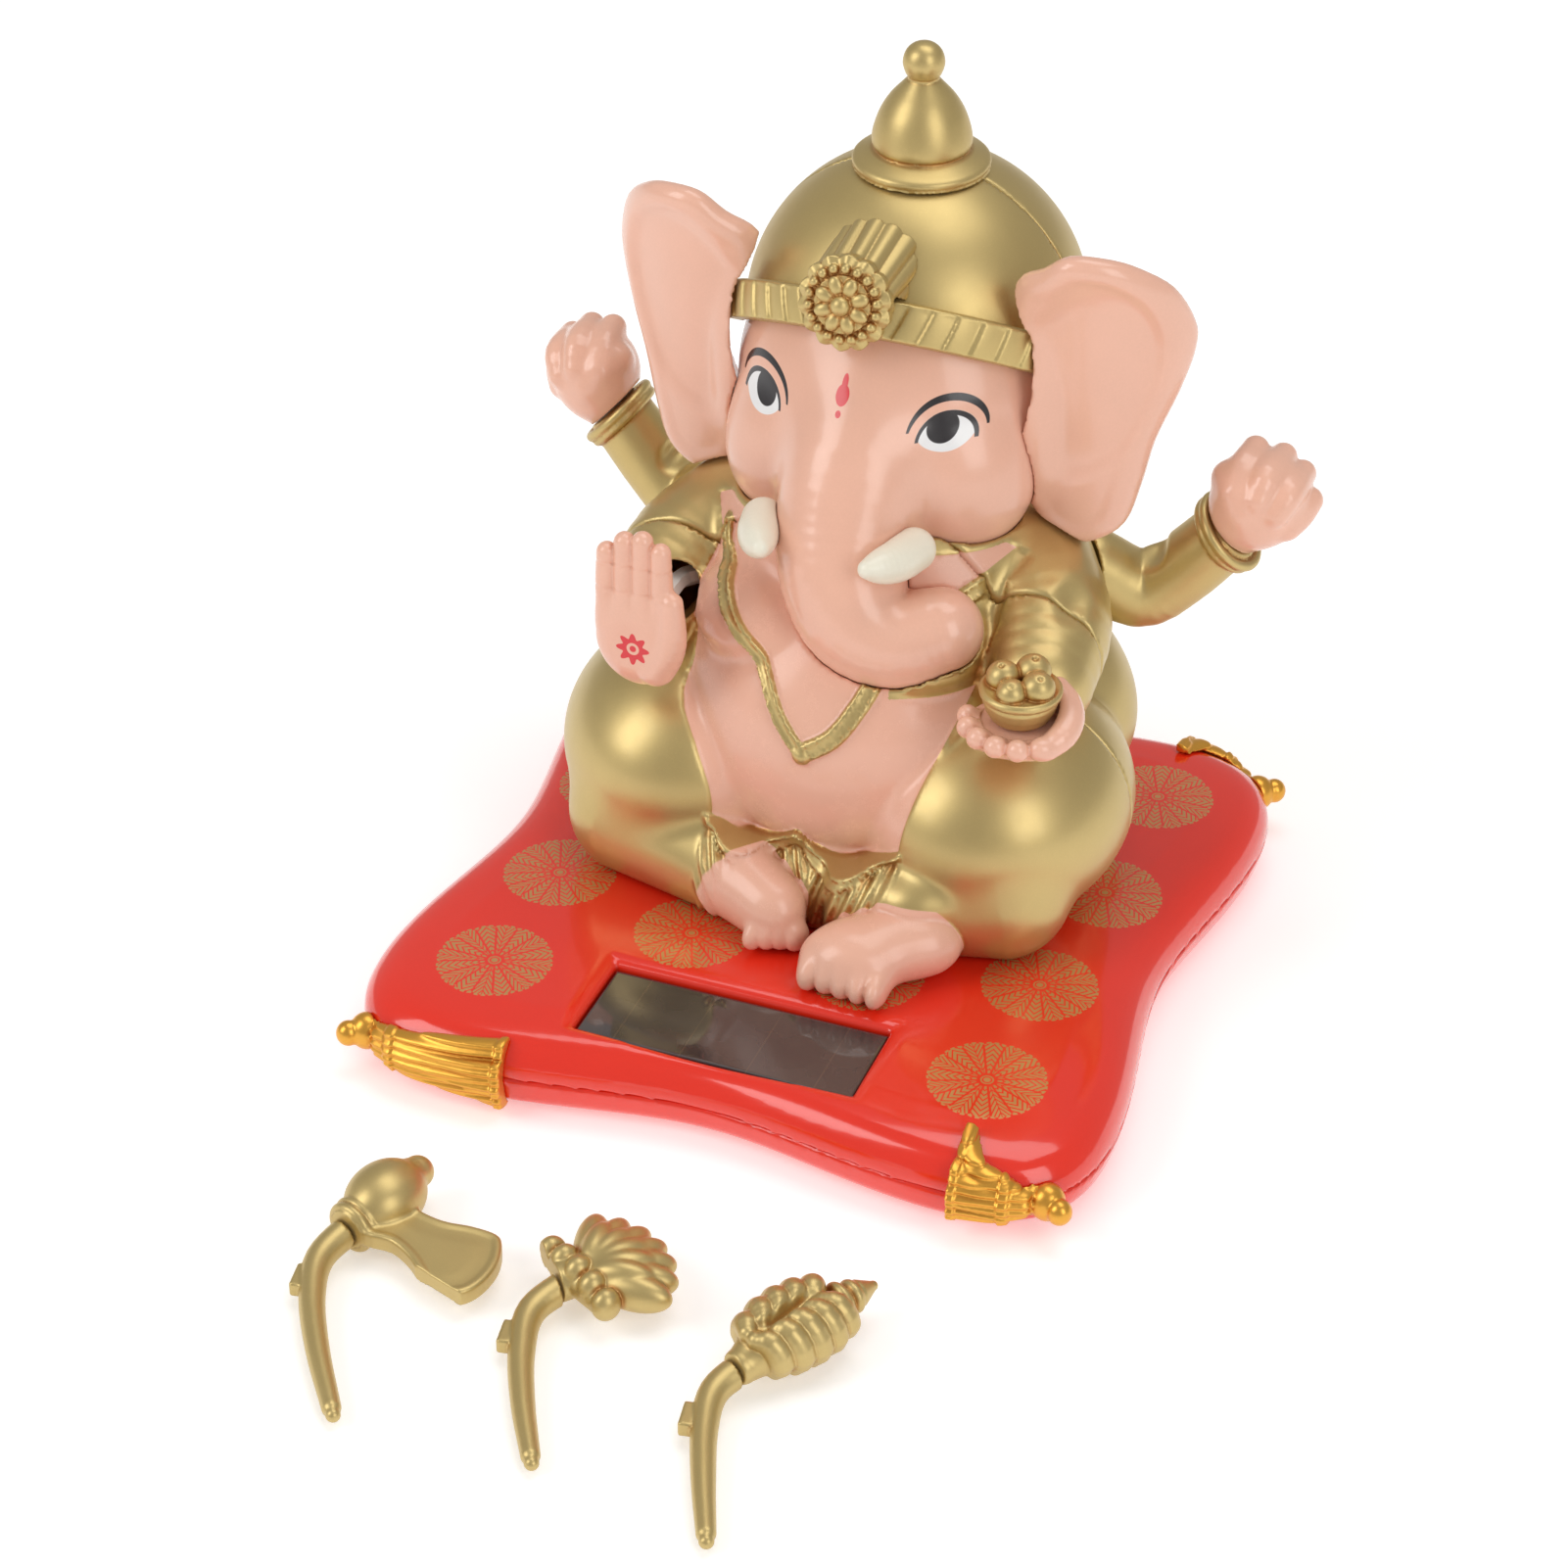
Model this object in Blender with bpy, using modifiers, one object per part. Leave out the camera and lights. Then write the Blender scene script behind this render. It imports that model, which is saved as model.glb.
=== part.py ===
"""Seated elephant-headed devotional figure on a cushion base, with a solar-driven swinging palm.

The origin is the middle of the base's underside. +X is the figure's left, -Y is its front and +Z is up.
Sizes below are in millimetres; mm() turns them into Blender's metres.
"""

import math

import bmesh
import bpy
from mathutils import Euler, Matrix, Vector

GAP = 0.3  # room between pieces that touch
WALL = 2.0  # moulded wall

# cushion base
BASE_HALF = 51.0  # origin to the middle of a side
BASE_CORNER = 0.12  # how far the corners run out, as a share
BASE_TOP = 12.3
BASE_SIDES = 32
LOWER_PROFILE = ((5.6, 0.0), (2.8, 0.7), (0.9, 2.4), (0.0, 5.85))
LOWER_INSIDE = ((2.0, 5.85), (3.0, 3.2), (8.0, 2.0))
UPPER_PROFILE = ((0.0, 6.15), (0.5, 8.3), (2.2, 10.4), (5.4, 11.7), (12.0, BASE_TOP))
UPPER_INSIDE = ((2.0, 6.15), (3.2, 8.9), (12.0, 10.3))

# solar window in the front of the base
WINDOW = (41.2, 14.8)
WINDOW_Y = -39.3
WINDOW_TOP = 10.9
WINDOW_THICK = 1.0
CELL = (40.0, 13.6)
CELL_THICK = 1.2
CELL_TOP = WINDOW_TOP - WINDOW_THICK - GAP

# figure
BODY_FLOOR = BASE_TOP + GAP
BODY_SEAM = 8.0
FLOOR_WELL = (-2.0, 14.0, 15.0)  # the opening in the underside, over the coil
HEAD_SEAM = 30.0
CROWN_CENTRE = (0.0, 32.6, 89.0)
CROWN_RADIUS = 24.6
CROWN_RIM = (8.3, 96.8)  # y and z of the rim's front
CROWN_SLOPE = 33.0  # degrees that the rim falls towards the back
CROWN_SEAM = 32.0
BAND_HEIGHT = 5.8
BAND_THICK = 2.0
ROSETTE_AT = (0.0, 8.0, 102.2)
ROSETTE_LEAN = 78.0  # degrees from facing up

WRIST_AT = (48.3, 34.1, 62.9)
WRIST_LEAN = 48.0  # degrees from upright

# swing that carries the palm
PIVOT = (-13.0, 12.0, 46.0)
AXLE_RADIUS = 0.75
AXLE_HALF = 7.4
HUB_RADIUS = 2.6
LEVER_RADIUS = 1.5
BORE_RADIUS = 0.83
PENDULUM = 30.0  # pivot to the magnet's underside
MAGNET_RADIUS = 4.0
MAGNET_THICK = 3.0
TIE = (3.4, 2.4)  # width and height of the arm that carries the balance weight
LEVER_ROUTE = (
    (-13.0, 12.0, 46.0),
    (-16.5, 11.0, 49.5),
    (-21.0, 10.5, 53.0),
    (-25.5, 6.0, 54.0),
    (-25.5, -1.0, 54.6),
    (-25.2, -9.6, 55.5),
)
LEVER_ROOM = (3.0, 3.0, 3.6, 4.8, 5.6)  # clear radius round the route's points after the first
BALANCE_SIZE = (6.0, 6.5, 7.0)
BALANCE_AT = (-13.0, 27.1, 27.0)
PALM_CENTRE = (-24.7, -12.0, 59.3)

# electronics
COIL_AT = (-13.0, 12.0)
COIL_RADIUS = 7.0
COIL_CORE = 2.6
BOARD_AT = (14.0, -16.0, 4.2)
BOARD = (22.0, 15.0, 1.2)

SCREW_CORNER = 37.0
BODY_SCREWS = (21.0, 36.0)
SCREW_RADIUS = 1.1
SCREW_HEAD = 2.1
BOSS_RADIUS = 3.0

# trunk: it hangs down the belly and curls to the figure's left
TRUNK = (
    (0.0, 16.0, 84.0),
    (0.0, 8.5, 77.0),
    (0.0, 4.0, 70.0),
    (1.2, 0.0, 64.0),
    (4.5, -2.6, 59.0),
    (10.0, -2.8, 57.0),
    (16.0, -0.5, 58.5),
)
TRUNK_RADII = (10.4, 10.2, 9.8, 9.0, 8.0, 7.0, 6.0)

# ears: the outline of one, as x and z
EAR_OUTLINE = [
    (21.0, 107.0),
    (27.0, 110.5),
    (32.0, 110.5),
    (36.0, 108.8),
    (40.0, 105.0),
    (42.4, 99.0),
    (42.6, 94.5),
    (41.0, 88.0),
    (38.4, 80.5),
    (36.8, 73.0),
    (35.0, 67.0),
    (31.5, 64.2),
    (27.8, 63.6),
    (23.5, 65.6),
    (20.5, 70.0),
]
EAR_THICK = 3.4

# heads of the loose attributes, by attribute
ATTRIBUTE_HEADS = {"axe": "axe_head", "lotus": "lotus_bud", "conch": "conch_shell"}
# each stem's route from its thin end, its key, its joint with the head and the way on to the head
STEMS = {
    "axe": (
        (
            (-23.2, -118.7, 1.5),
            (-29.5, -110.0, 1.8),
            (-34.6, -101.5, 2.1),
            (-36.9, -94.4, 2.6),
            (-35.2, -87.4, 3.4),
        ),
        (-37.6, -99.0, 2.2),
        (-35.7, -89.6, 3.4),
        72,
    ),
    "lotus": (
        (
            (4.0, -117.3, 1.5),
            (-0.6, -109.4, 1.8),
            (-4.6, -101.0, 2.1),
            (-6.4, -93.6, 2.6),
            (-3.4, -87.0, 3.4),
        ),
        (-7.6, -99.0, 2.2),
        (-5.2, -88.6, 3.4),
        45,
    ),
    "conch": (
        (
            (29.7, -121.8, 1.5),
            (26.0, -113.6, 1.8),
            (22.8, -105.4, 2.1),
            (21.6, -99.0, 2.6),
            (24.0, -93.4, 3.4),
        ),
        (20.2, -104.6, 2.2),
        (23.0, -95.8, 3.4),
        62,
    ),
}
STEM_RADII = (1.3, 1.6, 1.8, 2.0, 2.2)

ROUND = 16  # sides of a small round piece

BOWL_AT = (30.5, -8.6)
HAND_LEVEL = 50.4

GOLD = ((0.52, 0.40, 0.15), 0.35, 0.85)
SKIN = ((0.87, 0.52, 0.42), 0.25, 0.0)
RED = ((0.75, 0.03, 0.02), 0.2, 0.0)
TASSEL = ((0.72, 0.42, 0.08), 0.4, 0.6)
IVORY = ((0.86, 0.82, 0.68), 0.4, 0.0)
SMOKED = ((0.08, 0.06, 0.05), 0.1, 0.0)
CELL_GREY = ((0.10, 0.07, 0.06), 0.3, 0.0)
STEEL = ((0.62, 0.62, 0.64), 0.3, 1.0)
GREEN = ((0.05, 0.25, 0.10), 0.5, 0.0)
BLACK = ((0.02, 0.02, 0.02), 0.5, 0.0)
COPPER = ((0.72, 0.32, 0.14), 0.35, 1.0)
WHITE = ((0.80, 0.80, 0.78), 0.45, 0.0)


def mm(values):
    return Vector(values) * 0.001


def fresh_scene():
    for thing in list(bpy.data.objects):
        bpy.data.objects.remove(thing, do_unlink=True)
    made = []
    for title in ("ganesha_idol", "cutters"):
        group = bpy.data.collections.new(title)
        bpy.context.scene.collection.children.link(group)
        made.append(group)
    made[1].hide_render = True
    return made


PARTS, CUTTERS = fresh_scene()


def material(look):
    colour, roughness, metallic = look
    title = "_".join(str(round(value, 2)) for value in (*colour, roughness, metallic))
    found = bpy.data.materials.get(title)
    if found:
        return found
    made = bpy.data.materials.new(title)
    made.use_nodes = True
    shader = made.node_tree.nodes["Principled BSDF"]
    shader.inputs["Base Color"].default_value = (*colour, 1)
    shader.inputs["Roughness"].default_value = roughness
    shader.inputs["Metallic"].default_value = metallic
    return made


def part(name, mesh, look):
    """A finished sub-part: one object with its own material."""
    thing = bpy.data.objects.new(name, mesh)
    PARTS.objects.link(thing)
    mesh.materials.clear()
    mesh.materials.append(material(look))
    mesh.shade_smooth()
    return thing


def cutter(name, mesh):
    thing = bpy.data.objects.new(name, mesh)
    CUTTERS.objects.link(thing)
    thing.hide_render = True
    thing.display_type = "WIRE"
    return thing


def boolean(thing, other, operation="DIFFERENCE"):
    step = thing.modifiers.new(other.name, "BOOLEAN")
    step.object = other
    step.operation = operation
    step.solver = "EXACT"
    return thing


def evaluated(thing):
    """The object's mesh with its modifiers, as a new mesh; the object goes."""
    graph = bpy.context.evaluated_depsgraph_get()
    graph.update()
    mesh = bpy.data.meshes.new_from_object(thing.evaluated_get(graph))
    mesh.transform(thing.matrix_world)
    bpy.data.objects.remove(thing, do_unlink=True)
    return mesh


def mesh_of(shape, name="shape"):
    mesh = bpy.data.meshes.new(name)
    bmesh.ops.recalc_face_normals(shape, faces=shape.faces)
    shape.to_mesh(mesh)
    shape.free()
    return mesh


def placed(centre, turn=(0, 0, 0), size=(1, 1, 1)):
    angles = Euler([math.radians(a) for a in turn])
    return Matrix.Translation(mm(centre)) @ angles.to_matrix().to_4x4() @ Matrix.Diagonal((*mm(size), 1))


def ball(shape, centre, radii, turn=(0, 0, 0), finer=3):
    bmesh.ops.create_icosphere(shape, subdivisions=finer, radius=1, matrix=placed(centre, turn, radii))


def limb(shape, points, radii, steps=6, finer=3):
    """A run of balls close enough together to remesh into one tapered limb."""
    for (a, b), (r, s) in zip(zip(points, points[1:]), zip(radii, radii[1:])):
        for i in range(steps + 1):
            share = i / steps
            radius = r + (s - r) * share
            ball(shape, Vector(a).lerp(Vector(b), share), (radius,) * 3, finer=finer)


def box_mesh(size, centre, turn=(0, 0, 0)):
    shape = bmesh.new()
    bmesh.ops.create_cube(shape, size=1, matrix=placed(centre, turn, size))
    return mesh_of(shape)


def rod_mesh(radius, length, centre, turn=(0, 0, 0), sides=ROUND, far_radius=None):
    shape = bmesh.new()
    bmesh.ops.create_cone(
        shape,
        cap_ends=True,
        segments=sides,
        radius1=radius,
        radius2=radius if far_radius is None else far_radius,
        depth=length,
        matrix=placed(centre, turn),
    )
    return mesh_of(shape)


def turned(profile, centre=(0, 0, 0), sides=28):
    """A profile of (radius, height) points, from the top down, turned about Z."""
    shape = bmesh.new()
    rows = [shape.verts.new(mm((radius, 0, height))) for radius, height in profile]
    for a, b in zip(rows, rows[1:]):
        shape.edges.new((a, b))
    mesh = bpy.data.meshes.new("profile")
    shape.to_mesh(mesh)
    shape.free()
    thing = bpy.data.objects.new("profile", mesh)
    PARTS.objects.link(thing)
    thing.location = mm(centre)
    screw = thing.modifiers.new("turn", "SCREW")
    screw.steps = screw.render_steps = sides
    screw.use_merge_vertices = True
    screw.merge_threshold = 0.00001
    bpy.context.view_layer.update()
    return evaluated(thing)


def form(fill, voxel, triangles, rounds=4):
    """A soft closed form: balls and limbs remeshed into one skin, smoothed, then thinned out."""
    shape = bmesh.new()
    fill(shape)
    thing = bpy.data.objects.new("form", mesh_of(shape))
    PARTS.objects.link(thing)
    remesh = thing.modifiers.new("skin", "REMESH")
    remesh.mode = "VOXEL"
    remesh.voxel_size = voxel * 0.001
    smooth = thing.modifiers.new("soften", "SMOOTH")
    smooth.factor = 0.5
    smooth.iterations = rounds
    mesh = evaluated(thing)
    thing = bpy.data.objects.new("form", mesh)
    PARTS.objects.link(thing)
    thin = thing.modifiers.new("thin", "DECIMATE")
    thin.ratio = min(1, triangles / (2 * len(mesh.polygons)))
    return evaluated(thing)


def outline(inset, sides=BASE_SIDES):
    """The cushion's outline seen from above: a rounded square with drawn-out corners."""
    points = []
    for i in range(sides):
        angle = 2 * math.pi * i / sides
        across, along = abs(math.cos(angle)), abs(math.sin(angle))
        reach = BASE_HALF / (across**6 + along**6) ** (1 / 6)
        reach = reach * (1 + BASE_CORNER * math.sin(2 * angle) ** 2) - inset
        points.append((reach * math.cos(angle), reach * math.sin(angle)))
    return points


def cushion(rows, grow=0.0):
    """A loft through the outline at each (inset, height), closed by a cap at both ends."""
    shape = bmesh.new()
    rings = [[shape.verts.new(mm((x, y, z))) for x, y in outline(inset - grow)] for inset, z in rows]
    for low, high in zip(rings, rings[1:]):
        for i in range(BASE_SIDES):
            j = (i + 1) % BASE_SIDES
            shape.faces.new((low[i], low[j], high[j], high[i]))
    for end in (rings[0], rings[-1]):
        shape.faces.new(end)
    bmesh.ops.triangulate(shape, faces=[face for face in shape.faces if len(face.verts) > 4])
    return mesh_of(shape)


# ---------------------------------------------------------------- base


def edge(x):
    """Half the cushion's depth at this x."""
    points = sorted((px, py) for px, py in outline(0, 160) if py > 0)
    for (ax, ay), (bx, by) in zip(points, points[1:]):
        if ax <= x <= bx:
            return ay + (by - ay) * (x - ax) / (bx - ax)
    return points[-1][1]


def side_inset(z):
    """How far the cushion's side lies inside its outline at this height."""
    rows = whole_cushion()
    for (inset_a, a), (inset_b, b) in zip(rows, rows[1:]):
        if a <= z <= b:
            return inset_a + (inset_b - inset_a) * (z - a) / (b - a)
    return 0.0


def tassel(side, end, length, height):
    """A knot of two beads on the corner and a fringe that flares along the front or back edge."""
    knot = Vector((50.2 * side, 51.0 * end, 6.0))

    def fill(shape):
        ball(shape, (48.4 * side, 51.4 * end, 6.0), (3.0, 3.2, 3.4))
        ball(shape, knot + Vector((2.2 * side, 2.0 * end, 0)), (2.6, 2.6, 2.8))
        steps = max(6, int(length / 2))
        for i in range(steps + 1):
            share = i / steps
            x = 47.0 - length * share
            spread = 4.0 + (height - 4.0) * share
            for k in range(5):
                z = 6.0 + (k / 4 - 0.5) * (spread - 3.0) + 0.5 * share
                y = edge(x) - side_inset(z) + 0.6
                ball(shape, (x * side, y * end, z), (1.9, 1.9, 1.9), finer=2)

    return form(fill, 0.7, 160)


def make_base():
    lower = part("base_bottom_cover", cushion(LOWER_PROFILE + LOWER_INSIDE), RED)
    upper = part("base_top_shell", cushion(UPPER_PROFILE[::-1] + UPPER_INSIDE), RED)
    frame = (WINDOW[0] + 6, WINDOW[1] + 4.6)
    seat = CELL_TOP - CELL_THICK - GAP
    boolean(upper, cutter("cell_frame", box_mesh((*frame, 11.0 - 6.6), (0, WINDOW_Y, 8.8))), "UNION")
    window_hole = (WINDOW[0] + 2 * GAP, WINDOW[1] + 2 * GAP, 20)
    boolean(upper, cutter("window_hole", box_mesh(window_hole, (0, WINDOW_Y, seat + 10))))
    boolean(upper, cutter("lead_hole", box_mesh((30, 7, 9), (0, WINDOW_Y, seat))))
    for side in (-1, 1):
        for end in (-1, 1):
            at = (SCREW_CORNER * side, SCREW_CORNER * end)
            label = f"{'left' if side > 0 else 'right'}_{'rear' if end > 0 else 'front'}"
            boss = cutter(f"boss_{label}", rod_mesh(BOSS_RADIUS, 4.6, (*at, 8.7)))
            boolean(upper, boss, "UNION")
            hole = cutter(f"boss_hole_{label}", rod_mesh(SCREW_RADIUS + GAP, 9, (*at, 5.4)))
            boolean(upper, hole)
            boolean(lower, cutter(f"foot_boss_{label}", rod_mesh(BOSS_RADIUS + 1, 4.6, (*at, 3.3))), "UNION")
            boolean(lower, cutter(f"foot_hole_{label}", rod_mesh(SCREW_RADIUS + GAP, 14, (*at, 5))))
            boolean(lower, cutter(f"foot_sink_{label}", rod_mesh(SCREW_HEAD + GAP, 5, (*at, -0.6))))
            part(f"base_screw_{label}", screw_mesh((*at, 0.5), 8.5), STEEL)
            length, height = (9.0, 11.4) if side > 0 else (19.0, 8.4)
            made = part(f"corner_tassel_{label}", tassel(side, end, length, height), TASSEL)
            boolean(made, cutter(f"tassel_seat_{label}", cushion(whole_cushion(), GAP)))
    for side in (-1, 1):
        at = (BODY_SCREWS[0] * side, BODY_SCREWS[1])
        hole = rod_mesh(SCREW_RADIUS + GAP, 12, (*at, 10))
        boolean(upper, cutter(f"body_screw_hole_{side}", hole))
    window_at = (0, WINDOW_Y, WINDOW_TOP - WINDOW_THICK / 2)
    part("solar_window", box_mesh((*WINDOW, WINDOW_THICK), window_at), SMOKED)
    cell_at = (0, WINDOW_Y, CELL_TOP - CELL_THICK / 2)
    part("solar_cell", box_mesh((*CELL, CELL_THICK), cell_at), CELL_GREY)


def whole_cushion():
    """The closed outside of both base shells, as (inset, height) rows."""
    return LOWER_PROFILE + UPPER_PROFILE[1:]


def screw_mesh(low, length):
    """A pan-head screw standing head down at its lowest point."""
    profile = (
        (0.0, length),
        (SCREW_RADIUS, length - 1.0),
        (SCREW_RADIUS, 1.3),
        (SCREW_HEAD, 1.3),
        (SCREW_HEAD, 0.3),
        (SCREW_HEAD - 0.4, 0.0),
        (0.0, 0.0),
    )
    return turned(profile, low, 8)


def make_electronics():
    x, y, z = BOARD_AT
    part("circuit_board", box_mesh(BOARD, BOARD_AT), GREEN)
    top = z + BOARD[2] / 2 + GAP
    chip = rod_mesh(3.0, 1.0, (x - 5, y, top + 0.5), sides=16, far_radius=2.0)
    part("control_chip", chip, BLACK)
    part("storage_capacitor", rod_mesh(2.4, 3.6, (x + 6, y + 1, top + 1.8), sides=16), STEEL)
    floor = LOWER_INSIDE[-1][1] + GAP
    bobbin = (
        (0.0, 9.6),
        (COIL_RADIUS, 9.6),
        (COIL_RADIUS, 8.8),
        (COIL_CORE, 8.8),
        (COIL_CORE, floor + 0.8),
        (COIL_RADIUS, floor + 0.8),
        (COIL_RADIUS, floor),
        (0.0, floor),
    )
    part("coil_bobbin", turned(bobbin, (*COIL_AT, 0), ROUND), WHITE)
    ring = (
        (COIL_CORE + GAP, 8.5),
        (COIL_RADIUS - 0.6, 8.5),
        (COIL_RADIUS - 0.6, floor + 1.1),
        (COIL_CORE + GAP, floor + 1.1),
        (COIL_CORE + GAP, 8.5),
    )
    part("coil_winding", turned(ring, (*COIL_AT, 0), ROUND), COPPER)
    board_end = (x - BOARD[0] / 2 - 0.8, y, z)
    coil_end = (COIL_AT[0] + COIL_RADIUS + 0.4, COIL_AT[1] - 2, 5.0)
    part("coil_lead", wire_mesh((board_end, (-3, -13, 3.4), (-6, -3, 3.6), coil_end)), BLACK)
    cell_end = (6.0, WINDOW_Y, CELL_TOP - CELL_THICK - GAP - 0.8)
    board_front = (x, y - BOARD[1] / 2 - 0.8, z)
    part("cell_lead", wire_mesh((board_front, (12, -30, 3.6), (8, -37, 4.6), cell_end)), RED)


def wire_mesh(points, radius=0.5, fine=3):
    """A thin lead along a smooth run through its points."""
    curve = bpy.data.curves.new("wire", "CURVE")
    curve.dimensions = "3D"
    curve.bevel_depth = radius * 0.001
    curve.bevel_resolution = 1
    curve.use_fill_caps = True
    ends = [points[0], *points, points[-1]]
    path = []
    for i in range(len(points) - 1):
        a, b, c, d = (Vector(p) for p in ends[i : i + 4])
        for k in range(fine):
            t = k / fine
            square = (2 * a - 5 * b + 4 * c - d) * t**2
            cube = (3 * b - a - 3 * c + d) * t**3
            path.append(0.5 * (2 * b + (c - a) * t + square + cube))
    path.append(Vector(points[-1]))
    line = curve.splines.new("POLY")
    line.points.add(len(path) - 1)
    for point, at in zip(line.points, path):
        point.co = (*mm(at), 1)
    thing = bpy.data.objects.new("wire", curve)
    PARTS.objects.link(thing)
    return welded(evaluated(thing))


def welded(mesh):
    shape = bmesh.new()
    shape.from_mesh(mesh)
    bmesh.ops.remove_doubles(shape, verts=shape.verts, dist=0.000001)
    return mesh_of(shape)


# ---------------------------------------------------------------- figure


def torso(shape, shrink=0.0):
    """Belly, chest, shoulders, sleeves, thighs and hips. shrink draws every radius in."""

    def lump(centre, radii, turn=(0, 0, 0)):
        ball(shape, centre, [r - shrink for r in radii], turn, 4)

    lump((0, 14, 37), (28, 28, 26))
    lump((0, 20, 57), (26, 21, 17))
    lump((0, 26, 31), (37, 22, 24))
    for side in (-1, 1):
        lump((23 * side, 6, 28.5), (19.5, 22, 17))
        points = ((21.5 * side, 21, 57), (27 * side, 13, 54), (29.5 * side, 3.5, 51))
        limb(shape, points, [r - shrink for r in (9.8, 9.2, 7.4)])
        points = ((28 * side, -6, 21), (11 * side, -12, 18.5))
        limb(shape, points, [r - shrink for r in (10, 7)])


def feet(shape):
    """The left foot lies across the front with its toes to the right; the right foot is tucked behind it."""
    ball(shape, (19.5, -16.5, 17.6), (6.4, 6.2, 5.4))
    ball(shape, (13.5, -22.0, 17.0), (7.6, 6.0, 5.0), (0, 0, 30))
    for i in range(5):
        ball(shape, (7.2 + 2.6 * i, -27.2 - 0.35 * i, 15.4), (1.8, 2.4, 2.2))
    ball(shape, (-9.5, -12.8, 18.6), (6.4, 5.6, 6.0))
    ball(shape, (-3.5, -16.6, 17.8), (6.2, 5.2, 5.4), (0, 0, -35))
    for i in range(5):
        ball(shape, (3.2 - 1.3 * i, -19.0 - 1.15 * i + 0.5, 15.8), (1.7, 2.0, 2.2))


def skull(shape, grow=0.0):
    """Skull, face, cheeks and trunk. grow pushes every radius out."""

    def lump(centre, radii, turn=(0, 0, 0)):
        ball(shape, centre, [r + grow for r in radii], turn, 4)

    lump((0, 32, 87.6), (22.0, 22.2, 22.0))
    lump((0, 28, 82), (24.0, 22.6, 19))
    lump((0, 20, 76), (20, 16, 13))
    for side in (-1, 1):
        lump((11.8 * side, 18, 73.5), (11, 11.5, 12))
    limb(shape, TRUNK, [r + grow for r in TRUNK_RADII])


def swing_channel(shape):
    """The way through the shoulder and the sleeve's open end, wide enough for the lever's swing."""
    limb(shape, LEVER_ROUTE[1:], LEVER_ROOM, steps=8)


def make_body():
    outer = form(lambda shape: (torso(shape), feet(shape)), 1.2, 900)

    def hollow(shape):
        torso(shape, WALL + 0.2)
        ball(shape, FLOOR_WELL, (26, 15, 13))

    inner = form(hollow, 1.6, 280)
    nest = form(lambda shape: skull(shape, GAP + 0.25), 1.2, 560)
    nest_cut = cutter("head_nest", nest)
    inner_cut = cutter("body_hollow", inner)
    channel = cutter("lever_channel", form(swing_channel, 1.0, 260, 2))
    under = cutter("body_floor_cut", box_mesh((140, 140, 40), (0, 20, BODY_FLOOR - 20)))
    halves = (("body_front_shell", 1), ("body_rear_shell", -1))
    for name, way in halves:
        shell = part(name, outer.copy(), GOLD)
        boolean(shell, inner_cut)
        box = box_mesh((140, 100, 160), (0, BODY_SEAM + way * (50 - GAP / 2), 50))
        boolean(shell, cutter(f"{name}_cut", box))
        if way < 0:
            for side in (-1, 1):
                x, y = BODY_SCREWS[0] * side, BODY_SCREWS[1]
                boss = box_mesh((2 * BOSS_RADIUS, 9.0, 12), (x, y + 1.5, BODY_FLOOR + 5))
                boolean(shell, cutter(f"body_boss_{side}", boss), "UNION")
                hole = rod_mesh(SCREW_RADIUS + GAP, 12, (x, y, BODY_FLOOR + 3))
                boolean(shell, cutter(f"body_hole_{side}", hole))
        boolean(shell, channel)
        boolean(shell, under)
        boolean(shell, nest_cut)
    for side, label in ((-1, "right"), (1, "left")):
        low = (BODY_SCREWS[0] * side, BODY_SCREWS[1], 8.4)
        part(f"body_screw_{label}", screw_mesh(low, 9.5), STEEL)
    return nest_cut


def rim_box(offset, depth=80.0):
    """A big box whose top is the crown's sloping rim, raised by offset."""
    y, z = CROWN_RIM
    angle = math.radians(CROWN_SLOPE)
    normal = Vector((0, math.sin(angle), math.cos(angle)))
    centre = Vector((0, y, z)) + normal * (offset - depth / 2)
    return box_mesh((160, 200, depth), centre, (-CROWN_SLOPE, 0, 0))


def make_head(nest_cut):
    outer = form(skull, 1.1, 860)
    inner = form(lambda shape: ball(shape, (0, 29, 84), (20, 19.0, 18.6), finer=4), 1.6, 180)
    hollow = cutter("head_hollow", inner)
    for name, way in (("head_front_shell", 1), ("head_rear_shell", -1)):
        shell = part(name, outer.copy(), SKIN)
        boolean(shell, hollow)
        box = box_mesh((140, 100, 200), (0, HEAD_SEAM + way * (50 - GAP / 2), 60))
        boolean(shell, cutter(f"{name}_cut", box))
    dome = bmesh.new()
    ball(dome, CROWN_CENTRE, (CROWN_RADIUS,) * 3, finer=3)
    dome = mesh_of(dome)
    below = cutter("crown_below", rim_box(GAP))
    finial_seat = cutter("finial_seat", rod_mesh(4.3, 30, (0, CROWN_CENTRE[1], 116)))
    for name, way in (("crown_front_shell", 1), ("crown_rear_shell", -1)):
        shell = part(name, dome.copy(), GOLD)
        boolean(shell, nest_cut)
        boolean(shell, below)
        boolean(shell, finial_seat)
        box = box_mesh((140, 100, 200), (0, CROWN_SEAM + way * (50 - GAP / 2), 60))
        boolean(shell, cutter(f"{name}_cut", box))
        if way > 0:
            boolean(shell, cutter("rosette_seat", rod_mesh(3.0 + GAP, 18, ROSETTE_AT, (ROSETTE_LEAN, 0, 0))))
    make_band()
    make_finial()
    make_rosette(nest_cut)
    return cutter("crown_clear", crown_ball(CROWN_RADIUS + BAND_THICK + 2 * GAP))


def crown_ball(radius):
    shape = bmesh.new()
    ball(shape, CROWN_CENTRE, (radius,) * 3, finer=3)
    return mesh_of(shape)


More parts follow.
